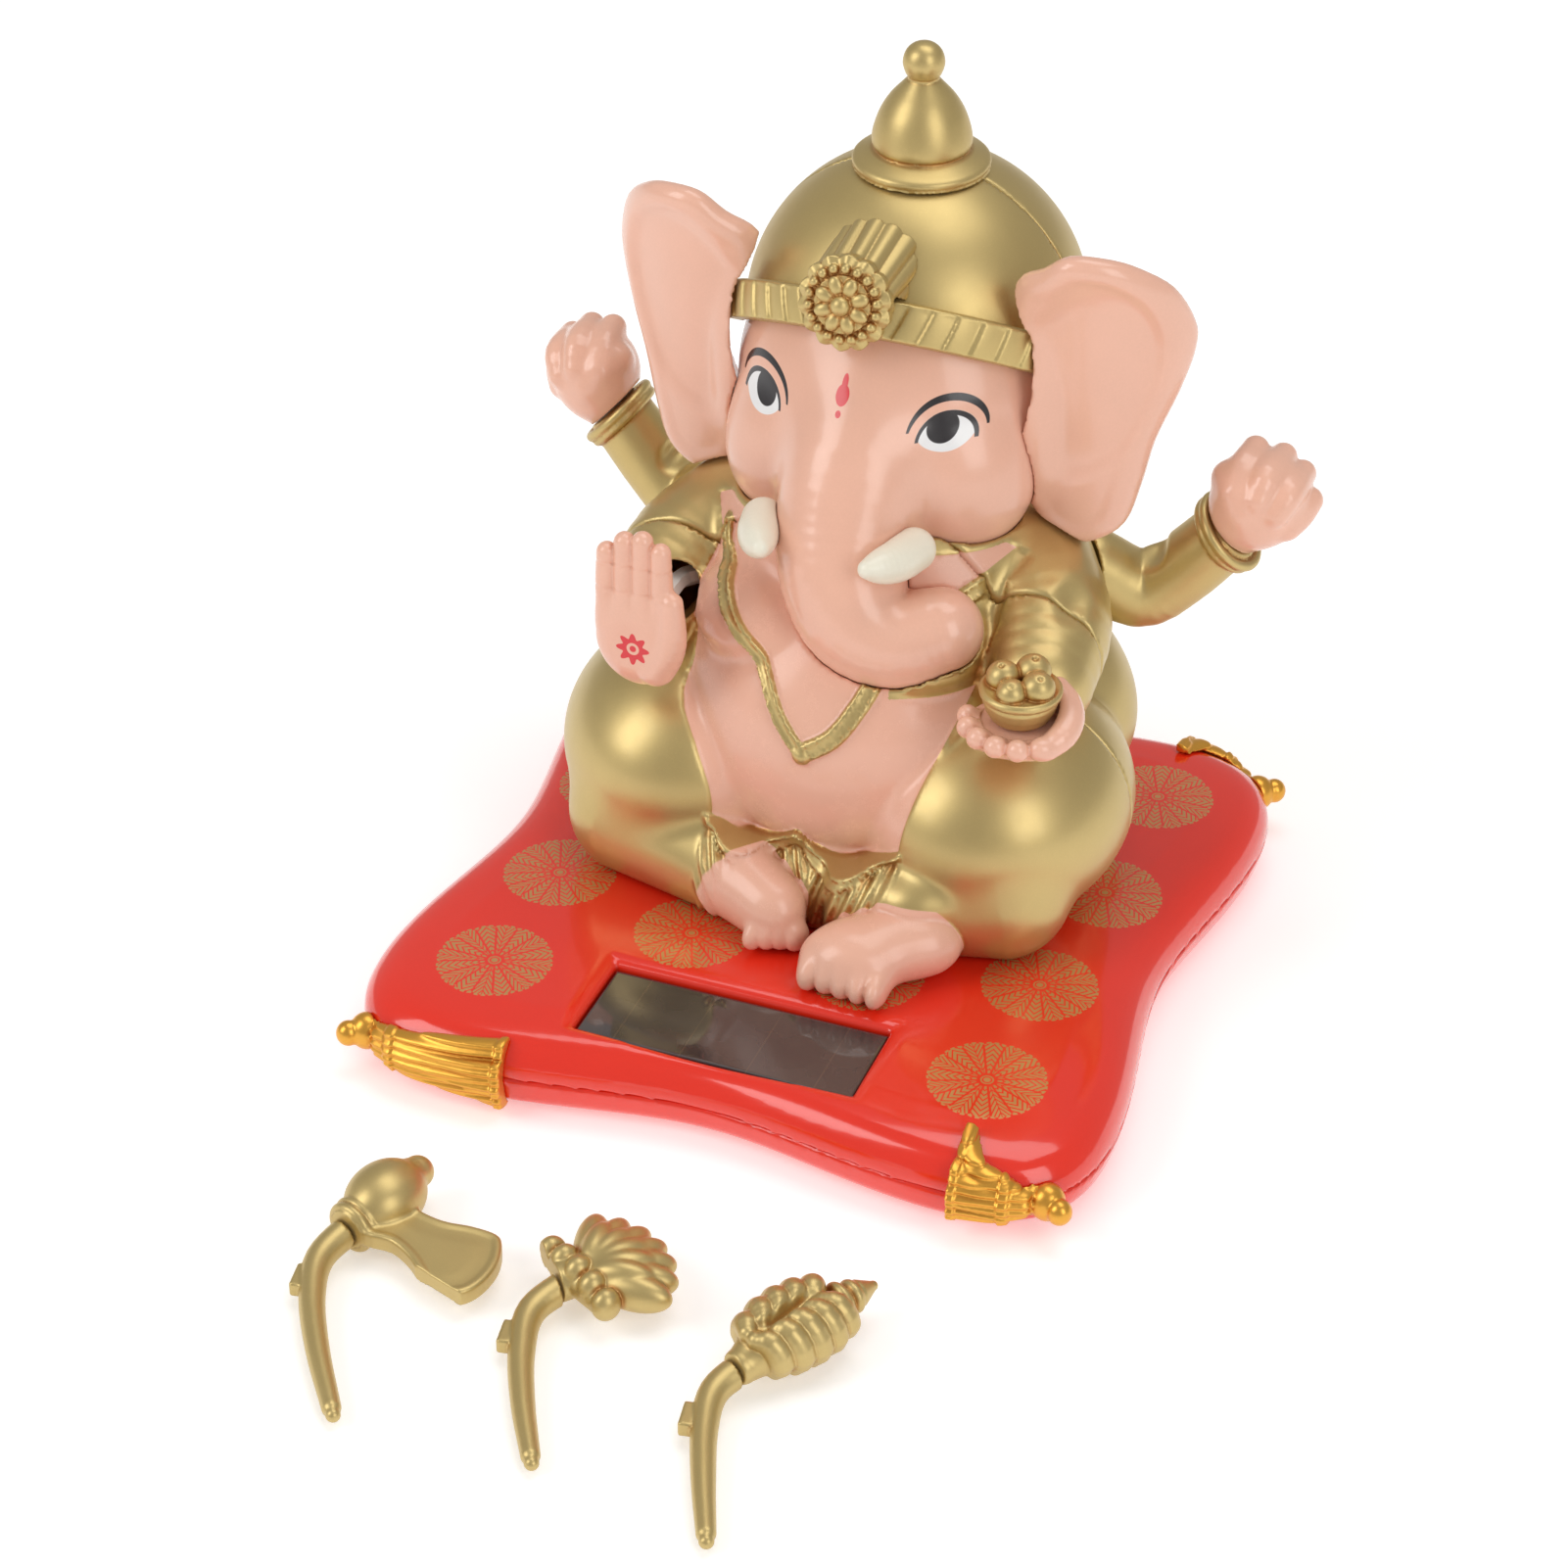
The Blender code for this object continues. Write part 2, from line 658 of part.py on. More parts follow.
def make_band():
    """The ribbed front band: a shell round the crown between two sloping planes, ending behind the ears."""
    band = part("crown_band", crown_ball(CROWN_RADIUS + GAP + BAND_THICK), GOLD)
    boolean(band, cutter("band_inside", crown_ball(CROWN_RADIUS + GAP)))
    boolean(band, cutter("band_below", rim_box(GAP)))
    above = rim_box(BAND_HEIGHT + 80.0)
    boolean(band, cutter("band_above", above))
    boolean(band, cutter("band_behind", box_mesh((140, 100, 200), (0, 22.0 + 50, 60))))
    boolean(band, cutter("band_rosette", rod_mesh(3.0 + GAP, 30, ROSETTE_AT, (ROSETTE_LEAN, 0, 0))))


def make_finial():
    profile = (
        (0.0, 130.2),
        (1.9, 129.3),
        (2.9, 127.2),
        (2.4, 125.3),
        (1.8, 124.4),
        (3.4, 121.8),
        (5.8, 118.2),
        (7.1, 115.4),
        (6.4, 114.0),
        (8.0, 113.4),
        (10.6, 112.0),
        (11.4, 110.4),
        (11.4, 108.4),
        (5.0, 108.4),
        (5.0, 110.9),
        (0.0, 110.9),
    )
    finial = part("crown_finial", turned(profile, (0, CROWN_CENTRE[1], 0), ROUND), GOLD)
    boolean(finial, cutter("finial_clear", crown_ball_with_stub()))


def crown_ball_with_stub():
    """The crown's outside plus the gap, left out where the finial's stub goes in."""
    thing = bpy.data.objects.new("stub", crown_ball(CROWN_RADIUS + GAP))
    PARTS.objects.link(thing)
    boolean(thing, cutter("stub_hole", rod_mesh(4.15, 30, (0, CROWN_CENTRE[1], 116))))
    return evaluated(thing)


def make_rosette(nest_cut):
    """A fluted boss that leans back over the band, with a stub that plugs into the crown."""
    profile = (
        (0.0, 4.6),
        (2.4, 4.2),
        (5.6, 3.4),
        (6.7, 2.2),
        (6.7, -5.2),
        (3.0, -5.2),
        (3.0, -5.4),
        (0.0, -5.4),
    )
    rosette = turned(profile, sides=ROUND)
    rosette.transform(placed(ROSETTE_AT, (ROSETTE_LEAN, 0, 0), (1000, 1000, 1000)))
    made = part("crown_rosette", rosette, GOLD)
    room = bpy.data.objects.new("room", crown_ball(CROWN_RADIUS + BAND_THICK + 2 * GAP))
    PARTS.objects.link(room)
    boolean(room, cutter("room_above", rim_box(BAND_HEIGHT + GAP + 80.0)))
    room = cutter("band_room", evaluated(room))
    stub = rod_mesh(3.05, 30, ROSETTE_AT, (ROSETTE_LEAN, 0, 0))
    boolean(room, cutter("room_stub", stub))
    boolean(made, room)
    dome = cutter("dome_room", crown_ball(CROWN_RADIUS + GAP))
    boolean(dome, cutter("dome_stub", stub.copy()))
    boolean(made, dome)
    boolean(made, nest_cut)


def ear_front(x, z):
    """How far back the ear's front lies: it cups round the cheek and its edge sweeps back."""
    return 17 + 0.036 * (abs(x) - 27) ** 2 + 0.12 * (87 - z)


def ear(side):
    """A cupped plate made of overlapping balls inside the ear's outline, with a thicker rolled rim."""

    def fill(shape):
        ends = list(zip(EAR_OUTLINE, EAR_OUTLINE[1:] + EAR_OUTLINE[:1]))
        for x in range(20, 43, 2):
            for z in range(64, 112, 2):
                if inside(ends, x, z) and nearest(ends, x, z) > EAR_THICK / 2:
                    at = (x * side, ear_front(x, z) + EAR_THICK / 2, z)
                    ball(shape, at, (EAR_THICK / 2 + 0.2,) * 3, finer=2)
        for a, b in ends:
            for share in (0.0, 0.34, 0.67):
                x, z = Vector(a).lerp(Vector(b), share)
                inward = (Vector((31, 88)) - Vector((x, z))).normalized() * 2.1
                x, z = x + inward.x, z + inward.y
                ball(shape, (x * side, ear_front(x, z) + 1.4, z), (2.1, 2.1, 2.1), finer=2)
        limb(shape, ((23 * side, 20.5, 98), (23 * side, 22, 78)), (2.6, 2.6))

    return form(fill, 0.8, 340, 3)


def inside(ends, x, z):
    """Whether a point lies inside the closed outline given as pairs of corners."""
    crossings = 0
    for (ax, az), (bx, bz) in ends:
        if (az > z) != (bz > z) and x < ax + (z - az) * (bx - ax) / (bz - az):
            crossings += 1
    return crossings % 2 == 1


def nearest(ends, x, z):
    """A point's distance to the outline."""
    found = []
    for a, b in ends:
        a, b, p = Vector(a), Vector(b), Vector((x, z))
        share = max(0, min(1, (p - a).dot(b - a) / (b - a).length_squared))
        found.append((p - a.lerp(b, share)).length)
    return min(found)


def tusk(side):
    def fill(shape):
        points = ((12.0 * side, 2.0, 69.6), (11.0 * side, -2, 69.8), (7.9 * side, -8.4, 71.0))
        limb(shape, points, (3.2, 3.1, 1.7))

    return form(fill, 0.5, 120, 3)


def sleeve(side):
    def fill(shape):
        points = ((28.5 * side, 29, 55.5), (35 * side, 32, 51), (46.4 * side, 33.8, 61.0))
        limb(shape, points, (5.4, 5.8, 5.0), steps=10)
        ball(shape, (47.4 * side, 34.0, 62.0), (6.4, 6.4, 1.7), (0, WRIST_LEAN * side, 0))

    return form(fill, 0.7, 240, 3)


def fist(side):
    def fill(shape):
        ball(shape, (52.6 * side, 34.6, 69.0), (7.4, 6.4, 7.6))
        ball(shape, (51.4 * side, 31.4, 70.4), (6.0, 4.4, 5.4))
        limb(shape, ((49.0 * side, 34.2, 63.8), (51.5 * side, 34.4, 66.5)), (3.9, 4.8))

    return form(fill, 0.6, 240, 3)


def make_limbs(nest_cut, crown_clear):
    body_clear = cutter("body_clear", form(lambda shape: torso(shape, -GAP - 0.5), 1.2, 900))
    for side, label in ((-1, "right"), (1, "left")):
        made = part(f"{label}_ear", ear(side), SKIN)
        boolean(made, nest_cut)
        boolean(made, crown_clear)
        boolean(made, body_clear)
        made = part(f"{label}_tusk", tusk(side), IVORY)
        boolean(made, nest_cut)
        made = part(f"{label}_upper_sleeve", sleeve(side), GOLD)
        boolean(made, body_clear)
        boolean(made, nest_cut)
        at = Vector((WRIST_AT[0] * side, *WRIST_AT[1:]))
        lean = math.radians(WRIST_LEAN)
        reach = Vector((math.sin(lean) * side, 0, math.cos(lean)))
        beyond = box_mesh((60, 60, 20), at + reach * 10, (0, WRIST_LEAN * side, 0))
        boolean(made, cutter(f"{label}_cuff_cut", beyond))
        made = part(f"{label}_upper_fist", fist(side), SKIN)
        before = box_mesh((60, 60, 20), at - reach * (10 - GAP), (0, WRIST_LEAN * side, 0))
        boolean(made, cutter(f"{label}_wrist_cut", before))
        grip = rod_mesh(1.5, 30, (52.4 * side, 33.4, 69), (0, -10 * side, 0), 12)
        boolean(made, cutter(f"{label}_grip", grip))
    make_left_hand(body_clear)


def make_left_hand(body_clear):
    """The lowered left hand, palm up, and the bowl of sweets that stands on it."""

    def fill(shape):
        x, y = BOWL_AT
        ball(shape, (x, y, HAND_LEVEL), (7.8, 7.0, 2.6))
        limb(shape, ((x + 1, y + 4.6, HAND_LEVEL + 0.2), (x + 1, y + 10.6, HAND_LEVEL + 0.4)), (4.0, 4.4))
        for i in range(5):
            angle = math.radians(205 + 36 * i)
            at = (x + 7.2 * math.cos(angle), y - 0.3 + 6.8 * math.sin(angle), HAND_LEVEL + 1)
            ball(shape, at, (1.9, 1.9, 2.6))

    hand = part("left_hand", form(fill, 0.6, 520, 2), SKIN)
    boolean(hand, body_clear)
    boolean(hand, cutter("bowl_seat", rod_mesh(5.4, 8, (*BOWL_AT, 56.0))))

    def sweets(shape):
        x, y = BOWL_AT
        ball(shape, (x, y, 57.2), (4.4, 4.4, 1.6))
        for i in range(5):
            angle = 2 * math.pi * i / 5
            ball(shape, (x + 2.7 * math.cos(angle), y + 2.7 * math.sin(angle), 58.2), (1.9, 1.9, 1.9))
        ball(shape, (x, y, 59.6), (1.9, 1.9, 1.9))

    bowl = ((0.0, 57.6), (5.4, 57.6), (5.7, 56.6), (4.9, 53.6), (3.6, 52.4), (0.0, 52.4))
    made = part("sweet_bowl", turned(bowl, (*BOWL_AT, 0), ROUND), GOLD)
    boolean(made, cutter("sweets", form(sweets, 0.5, 200, 2)), "UNION")
    boolean(made, body_clear)


# ---------------------------------------------------------------- swing


def palm_mesh():
    def fill(shape):
        x, y, z = PALM_CENTRE
        ball(shape, (x, y, z - 5.0), (6.9, 3.4, 7.2))
        for i, (reach, width) in enumerate(((10.2, 1.9), (11.9, 1.9), (12.3, 1.9), (11.0, 1.8))):
            at = x - 5.1 + 3.4 * i
            limb(shape, ((at, y, z - 2), (at, y - 0.3, z + reach - 1.0)), (width, width * 0.9))
        limb(shape, ((x + 4, y - 0.5, z - 8), (x + 6.8, y - 0.8, z + 0.5)), (2.4, 1.9))

    return form(fill, 0.6, 360, 2)


def make_swing():
    px, py, pz = PIVOT
    palm = part("blessing_hand", palm_mesh(), SKIN)
    part("swing_axle", rod_mesh(AXLE_RADIUS, 2 * AXLE_HALF, PIVOT, (0, 90, 0), 24), STEEL)
    hub = rod_mesh(HUB_RADIUS, 7.0, PIVOT, (0, 90, 0), 24)
    lever = part("swing_lever", hub, WHITE)
    low = pz - PENDULUM + MAGNET_THICK + GAP
    rod_top = pz - 1.0
    stalk = box_mesh((3.4, 2.6, rod_top - low - 1.4), (px, py, (rod_top + low + 1.4) / 2))
    boolean(lever, cutter("lever_stalk", stalk), "UNION")
    cup = rod_mesh(MAGNET_RADIUS, 1.8, (px, py, low + 0.9), sides=24)
    boolean(lever, cutter("lever_cup", cup), "UNION")
    boolean(lever, cutter("lever_arm", wire_mesh(LEVER_ROUTE, LEVER_RADIUS, 3)), "UNION")
    bx, by, bz = BALANCE_AT
    tie = box_mesh((TIE[0], by - py, TIE[1]), (px, (by + py) / 2, bz))
    boolean(lever, cutter("lever_tie", tie), "UNION")
    boolean(lever, cutter("lever_bore", rod_mesh(BORE_RADIUS, 12, PIVOT, (0, 90, 0), 24)))
    palm_gap = form(grown_palm, 0.8, 400, 2)
    boolean(lever, cutter("palm_seat", palm_gap))
    magnet_at = (px, py, pz - PENDULUM + MAGNET_THICK / 2)
    part("swing_magnet", rod_mesh(MAGNET_RADIUS, MAGNET_THICK, magnet_at, sides=24), STEEL)
    weight = part("balance_weight", box_mesh(BALANCE_SIZE, BALANCE_AT), STEEL)
    notch_size = (TIE[0] + 2 * GAP, BALANCE_SIZE[1] + 2 * GAP, TIE[1] + 2 * GAP)
    notch = box_mesh(notch_size, (px, by - BALANCE_SIZE[1] / 2, bz))
    boolean(weight, cutter("weight_notch", notch))
    make_bracket()


def grown_palm(shape):
    x, y, z = PALM_CENTRE
    grow = GAP + 0.1
    ball(shape, (x, y, z - 5.0), (7.2 + grow, 3.4 + grow, 7.6 + grow))
    for i, (reach, width) in enumerate(((10.2, 1.9), (11.9, 1.9), (12.3, 1.9), (11.0, 1.8))):
        at = x - 5.1 + 3.4 * i
        limb(shape, ((at, y, z - 2), (at, y - 0.3, z + reach - 1.0)), (width + grow, width * 0.9 + grow))


def make_bracket():
    """The stand that holds the axle: two posts on a foot plate, over the coil."""
    px, py, pz = PIVOT
    plate = part("swing_bracket", box_mesh((19, 12, 1.4), (px, py + 1, BODY_FLOOR + 0.7)), WHITE)
    boolean(plate, cutter("plate_window", box_mesh((9.0, 9.0, 8), (px, py, BODY_FLOOR))))
    for way in (-1, 1):
        post_top = pz + 2.2
        post_at = (px + way * (AXLE_HALF - 1.4), py, (post_top + BODY_FLOOR) / 2)
        post = box_mesh((2.0, 5.0, post_top - BODY_FLOOR), post_at)
        boolean(plate, cutter(f"post_{way}", post), "UNION")
    boolean(plate, cutter("post_bores", rod_mesh(AXLE_RADIUS + GAP, 30, PIVOT, (0, 90, 0), 24)))


# ---------------------------------------------------------------- loose attributes


def attribute(name, fill_head, triangles):
    """A curved tapering stem with a small key, and the head that is plugged onto its end.

    joint is where they meet, and heading the direction in degrees from the stem to the head.
    """
    stem, lug, joint, heading = STEMS[name]
    along = Vector((math.cos(math.radians(heading)), math.sin(math.radians(heading)), 0))

    def fill_stem(shape):
        limb(shape, stem, STEM_RADII, steps=8)
        bmesh.ops.create_cube(shape, size=1, matrix=placed(lug, (0, 0, 10), (1.8, 4.4, 2.4)))

    shank = part(f"{name}_stem", form(fill_stem, 0.45, 160, 2), GOLD)
    after = box_mesh((20, 40, 40), Vector(joint) + along * (10 - GAP / 2), (0, 0, heading))
    boolean(shank, cutter(f"{name}_stem_end", after))
    head = part(ATTRIBUTE_HEADS[name], form(fill_head, 0.5, triangles, 2), GOLD)
    before = box_mesh((20, 40, 40), Vector(joint) - along * (10 - GAP / 2), (0, 0, heading))
    boolean(head, cutter(f"{name}_head_end", before))


def make_attributes():
    def axe_head(shape):
        limb(shape, ((-35.3, -89.0, 3.9), (-34.4, -86.6, 4.1)), (3.4, 3.5))
        ball(shape, (-33.0, -82.0, 4.9), (4.9, 6.2, 4.6), (0, 0, -14))
        limb(shape, ((-31.4, -76.6, 5.0), (-31.1, -75.8, 5.0)), (2.5, 2.0))
        for i in range(8):
            share = i / 7
            at = Vector((-29.4, -85.2, 4.3)).lerp(Vector((-17.4, -91.0, 3.6)), share)
            ball(shape, at, (2.0, 2.4 + 4.6 * share, 1.7 - 0.3 * share), (0, 0, -2 - 24 * share))

    def lotus_head(shape):
        ball(shape, (1.0, -83.2, 5.2), (7.2, 8.0, 4.8), (0, 0, -40))
        for i in range(5):
            angle = math.radians(52 + 27 * (i - 2))
            at = Vector((0.6, -83.6, 5.2)) + 6.2 * Vector((math.cos(angle), math.sin(angle), 0))
            ball(shape, at, (4.0, 2.5, 3.6), (0, 0, math.degrees(angle)))
        for i in range(4):
            angle = math.radians(-128 + 38 * (i - 1.5))
            at = Vector((0.8, -83.4, 4.6)) + 7.4 * Vector((math.cos(angle), math.sin(angle), 0))
            ball(shape, at, (2.3, 2.3, 2.4))

    def conch(shape):
        limb(shape, ((23.6, -94.6, 3.9), (24.6, -92.5, 4.2)), (2.6, 3.4))
        ball(shape, (27.4, -87.2, 5.0), (5.0, 8.2, 4.7), (0, 0, -28))
        for i in range(5):
            at = Vector((24.8, -92.0, 4.8)).lerp(Vector((30.6, -80.8, 5.0)), i / 4)
            width = 4.9 + 1.6 * math.sin(math.pi * (i + 0.6) / 4.6)
            ball(shape, at, (width, 1.7, 4.6), (0, 0, -28))
        limb(shape, ((31.4, -79.6, 4.8), (33.4, -76.8, 4.6)), (2.8, 1.3))
        ball(shape, (34.2, -75.6, 4.5), (1.6, 1.8, 1.6))

    heads = {"axe": (axe_head, 320), "lotus": (lotus_head, 360), "conch": (conch, 360)}
    for name, (fill_head, triangles) in heads.items():
        attribute(name, fill_head, triangles)


def hang(names, at, title):
    """Parents the named objects to an empty on their joint's axis, and moves their own origins there."""
    empty = bpy.data.objects.new(title, None)
    PARTS.objects.link(empty)
    empty.location = mm(at)
    for name in names:
        thing = bpy.data.objects[name]
        thing.data.transform(Matrix.Translation(-mm(at)))
        thing.parent = empty


def hang_moving_pieces():
    hang(("blessing_hand", "swing_lever", "swing_magnet", "balance_weight"), PIVOT, "palm_swing")
    for name, (stem, *_) in STEMS.items():
        hang((f"{name}_stem", ATTRIBUTE_HEADS[name]), stem[0], f"{name}_lift")


make_base()
make_electronics()
head_nest = make_body()
crown_room = make_head(head_nest)
make_limbs(head_nest, crown_room)
make_swing()
make_attributes()
hang_moving_pieces()
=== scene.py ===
"""Looks of the seated elephant-headed figure on its cushion base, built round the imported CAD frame.

Every visible piece is a solid polygonised from a signed distance field in millimetres, in the CAD's own
frame: +X is the figure's left, -Y its front and +Z up. Paint edges and prints are procedural.
"""

import math

import bpy
import numpy as np
import openvdb
from mathutils import Euler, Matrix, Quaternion, Vector


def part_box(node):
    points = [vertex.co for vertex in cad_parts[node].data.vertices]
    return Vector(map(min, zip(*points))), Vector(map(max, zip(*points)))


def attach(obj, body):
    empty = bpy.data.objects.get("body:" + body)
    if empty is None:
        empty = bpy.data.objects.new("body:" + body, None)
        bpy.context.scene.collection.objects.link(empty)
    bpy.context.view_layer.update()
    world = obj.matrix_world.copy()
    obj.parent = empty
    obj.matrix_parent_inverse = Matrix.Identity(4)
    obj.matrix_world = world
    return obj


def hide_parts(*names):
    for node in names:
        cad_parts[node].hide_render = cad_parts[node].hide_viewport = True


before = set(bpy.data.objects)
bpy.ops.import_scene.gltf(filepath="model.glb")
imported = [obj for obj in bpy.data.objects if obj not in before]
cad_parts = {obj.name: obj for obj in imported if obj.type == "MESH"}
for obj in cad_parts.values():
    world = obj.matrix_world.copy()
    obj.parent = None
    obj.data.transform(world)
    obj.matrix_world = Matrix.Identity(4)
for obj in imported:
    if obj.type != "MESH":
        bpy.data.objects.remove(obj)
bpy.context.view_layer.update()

MM = 0.001
GAP = 0.3
WALL = 2.0
SEAM_GAP = 0.07  # half the hairline between the two shells of one moulding

# cushion base
BASE_HALF = 51.0
BASE_CORNER = 0.12
BASE_TOP = 12.3
SIDE_PROFILE = (
    (5.6, 0.0), (2.8, 0.7), (0.9, 2.4), (0.0, 5.85), (0.0, 6.15),
    (0.5, 8.3), (2.2, 10.4), (5.4, 11.7), (12.0, BASE_TOP),
)
PARTING = 6.0
WINDOW = (41.2, 14.8)
WINDOW_Y = -39.3
WINDOW_TOP = 10.9
PRINTS = ((37.1, -37.7), (37.1, -14.7), (39.0, 9.9), (39.0, 36.4), (13.4, -21.4), (0.0, 47.5))
PRINT_RADIUS = 8.5

# figure
BODY_FLOOR = 12.6
BODY_SEAM = 8.0
FLOOR_WELL = (-2.0, 14.0, 15.0)
HEAD_SEAM = 30.0
NEST_ROOM = 0.12
CROWN_CENTRE = (0.0, 32.6, 89.0)
CROWN_RADIUS = 24.6
CROWN_RIM = (8.3, 96.8)
CROWN_SLOPE = math.radians(33.0)
CROWN_SEAM = 32.0
BAND_HEIGHT = 5.8
BAND_THICK = 2.4
BAND_END = 22.0
ROSETTE_AT = (-1.5, 8.0, 102.4)
ROSETTE_LEAN = math.radians(78.0)
WRIST_AT = (48.3, 34.1, 62.9)
WRIST_LEAN = math.radians(48.0)
LEVER_ROUTE = ((-16.5, 11, 49.5), (-21, 10.5, 53), (-25.5, 6, 54), (-25.5, -1, 54.6), (-25.2, -9.6, 55.5))
LEVER_ROOM = (3.0, 3.0, 3.6, 4.8, 5.6)
PALM = (-24.7, -12.0, 59.3)
BOWL = (30.5, -8.6)
HAND_LEVEL = 50.4
TRUNK = (
    (0, 16, 84), (0, 8.5, 77), (0, 4, 70), (1.2, 0, 64), (4.5, -2.6, 59), (10, -2.8, 57), (16, -0.5, 58.5),
)
TRUNK_RADII = (10.4, 10.2, 9.8, 9.0, 8.0, 7.0, 6.0)
FACE_MIDDLE = -1.0

# ------------------------------------------------------------------ distance fields


def turned(turn):
    """Rotation matrix of Euler angles in degrees."""
    return np.array(Euler([math.radians(a) for a in turn]).to_matrix())


def ball(p, centre, radii, turn=None):
    """Distance to an ellipsoid, close to true near its surface."""
    q = p - np.asarray(centre, float)
    if turn is not None:
        q = q @ turned(turn)
    q = q / np.asarray(radii, float)
    near = np.maximum(np.sqrt((q * q).sum(1)), 1e-4)
    q = q / np.asarray(radii, float)
    slope = np.maximum(np.sqrt((q * q).sum(1)), 1e-6)
    return near * (near - 1) / slope


def limb(p, points, radii):
    """Distance to a chain of round cones."""
    points = np.asarray(points, float)
    best = None
    for a, b, ra, rb in zip(points, points[1:], radii, radii[1:]):
        along = b - a
        t = np.clip((p - a) @ along / (along @ along), 0, 1)
        q = p - a - t[:, None] * along
        d = np.sqrt((q * q).sum(1)) - (ra + (rb - ra) * t)
        best = d if best is None else np.minimum(best, d)
    return best


def curve(points, radii, steps=4):
    """A smooth run through the points, with its radii."""
    rows = np.column_stack([np.asarray(points, float), radii])
    ends = np.vstack([2 * rows[0] - rows[1], rows, 2 * rows[-1] - rows[-2]])
    made = []
    for a, b, c, d in zip(ends, ends[1:], ends[2:], ends[3:]):
        square = 2 * a - 5 * b + 4 * c - d
        cube = 3 * b - 3 * c + d - a
        for i in range(steps):
            t = i / steps
            made.append(0.5 * (2 * b + (c - a) * t + square * t**2 + cube * t**3))
    made.append(rows[-1])
    made = np.array(made)
    return made[:, :3], made[:, 3]


def box(p, centre, size, turn=None, round_=0.0):
    q = p - np.asarray(centre, float)
    if turn is not None:
        q = q @ turned(turn)
    q = np.abs(q) - np.asarray(size, float) / 2 + round_
    return np.sqrt((np.maximum(q, 0) ** 2).sum(1)) + np.minimum(q.max(1), 0) - round_


def rod(p, centre, radius, half, axis=(0, 0, 1)):
    """A cylinder about an axis through centre."""
    axis = np.asarray(axis, float)
    axis = axis / np.linalg.norm(axis)
    q = p - np.asarray(centre, float)
    w = q @ axis
    r = np.sqrt(np.maximum((q * q).sum(1) - w * w, 0))
    return np.maximum(r - radius, np.abs(w) - half)


def join(a, b, k):
    """Union with a fillet of about k."""
    h = np.clip(0.5 + 0.5 * (b - a) / k, 0, 1)
    return b + (a - b) * h - k * h * (1 - h)


def cut(a, b, k=0.2):
    """a without b."""
    return -join(-a, b, k)


def carve(d, *others):
    """d with each of the others taken out of it, sharp-edged."""
    for other in others:
        d = np.maximum(d, -other)
    return d


def on_side(p, side):
    """The points seen from the figure's left where side is 1, mirrored across the middle where it is -1."""
    return p * np.array([side, 1.0, 1.0])


def mirrored(p):
    return np.column_stack([np.abs(p[:, 0]), p[:, 1], p[:, 2]])


def ramp(v, low, high):
    t = np.clip((v - low) / (high - low), 0, 1)
    return t * t * (3 - 2 * t)


def polygon(u, v, points):
    """Signed distance in a plane to a closed outline, negative inside."""
    points = np.asarray(points, float)
    best = np.full(len(u), 1e9)
    inside = np.zeros(len(u), bool)
    for (ax, ay), (bx, by) in zip(points, np.roll(points, -1, 0)):
        ex, ey = bx - ax, by - ay
        wx, wy = u - ax, v - ay
        t = np.clip((wx * ex + wy * ey) / (ex * ex + ey * ey), 0, 1)
        best = np.minimum(best, (wx - ex * t) ** 2 + (wy - ey * t) ** 2)
        if ay != by:
            inside ^= ((ay > v) != (by > v)) & (u < (bx - ax) * (v - ay) / (by - ay) + ax)
    return np.sqrt(best) * np.where(inside, -1, 1)


def polyline(u, v, points):
    """Distance to an open line, the length along it to the nearest point, and on which side it lies."""
    best = np.full(len(u), 1e9)
    at = np.zeros(len(u))
    side = np.zeros(len(u))
    run = 0.0
    for (ax, ay), (bx, by) in zip(points, points[1:]):
        ex, ey = bx - ax, by - ay
        size = math.hypot(ex, ey)
        wx, wy = u - ax, v - ay
        t = np.clip((wx * ex + wy * ey) / (size * size), 0, 1)
        d = (wx - ex * t) ** 2 + (wy - ey * t) ** 2
        closer = d < best
        best = np.where(closer, d, best)
        at = np.where(closer, run + t * size, at)
        side = np.where(closer, np.sign(ex * wy - ey * wx), side)
        run += size
    return np.sqrt(best), at, side


def smooth_line(points, steps=5):
    flat = np.column_stack([np.asarray(points, float), np.zeros(len(points))])
    return curve(flat, np.zeros(len(points)), steps)[0][:, :2]


def smooth_outline(points, steps=4):
    points = list(points)
    looped = points[-1:] + points + points[:2]
    flat = np.column_stack([np.asarray(looped, float), np.zeros(len(looped))])
    made = curve(flat, np.zeros(len(looped)), steps)[0][:, :2]
    return made[steps : steps * (len(points) + 1)]


# ------------------------------------------------------------------ solids from fields


def gradient(field, p, step=0.04):
    here = field(p)
    slope = np.empty_like(p)
    for axis in range(3):
        moved = p.copy()
        moved[:, axis] += step
        slope[:, axis] = (field(moved) - here) / step
    return here, slope


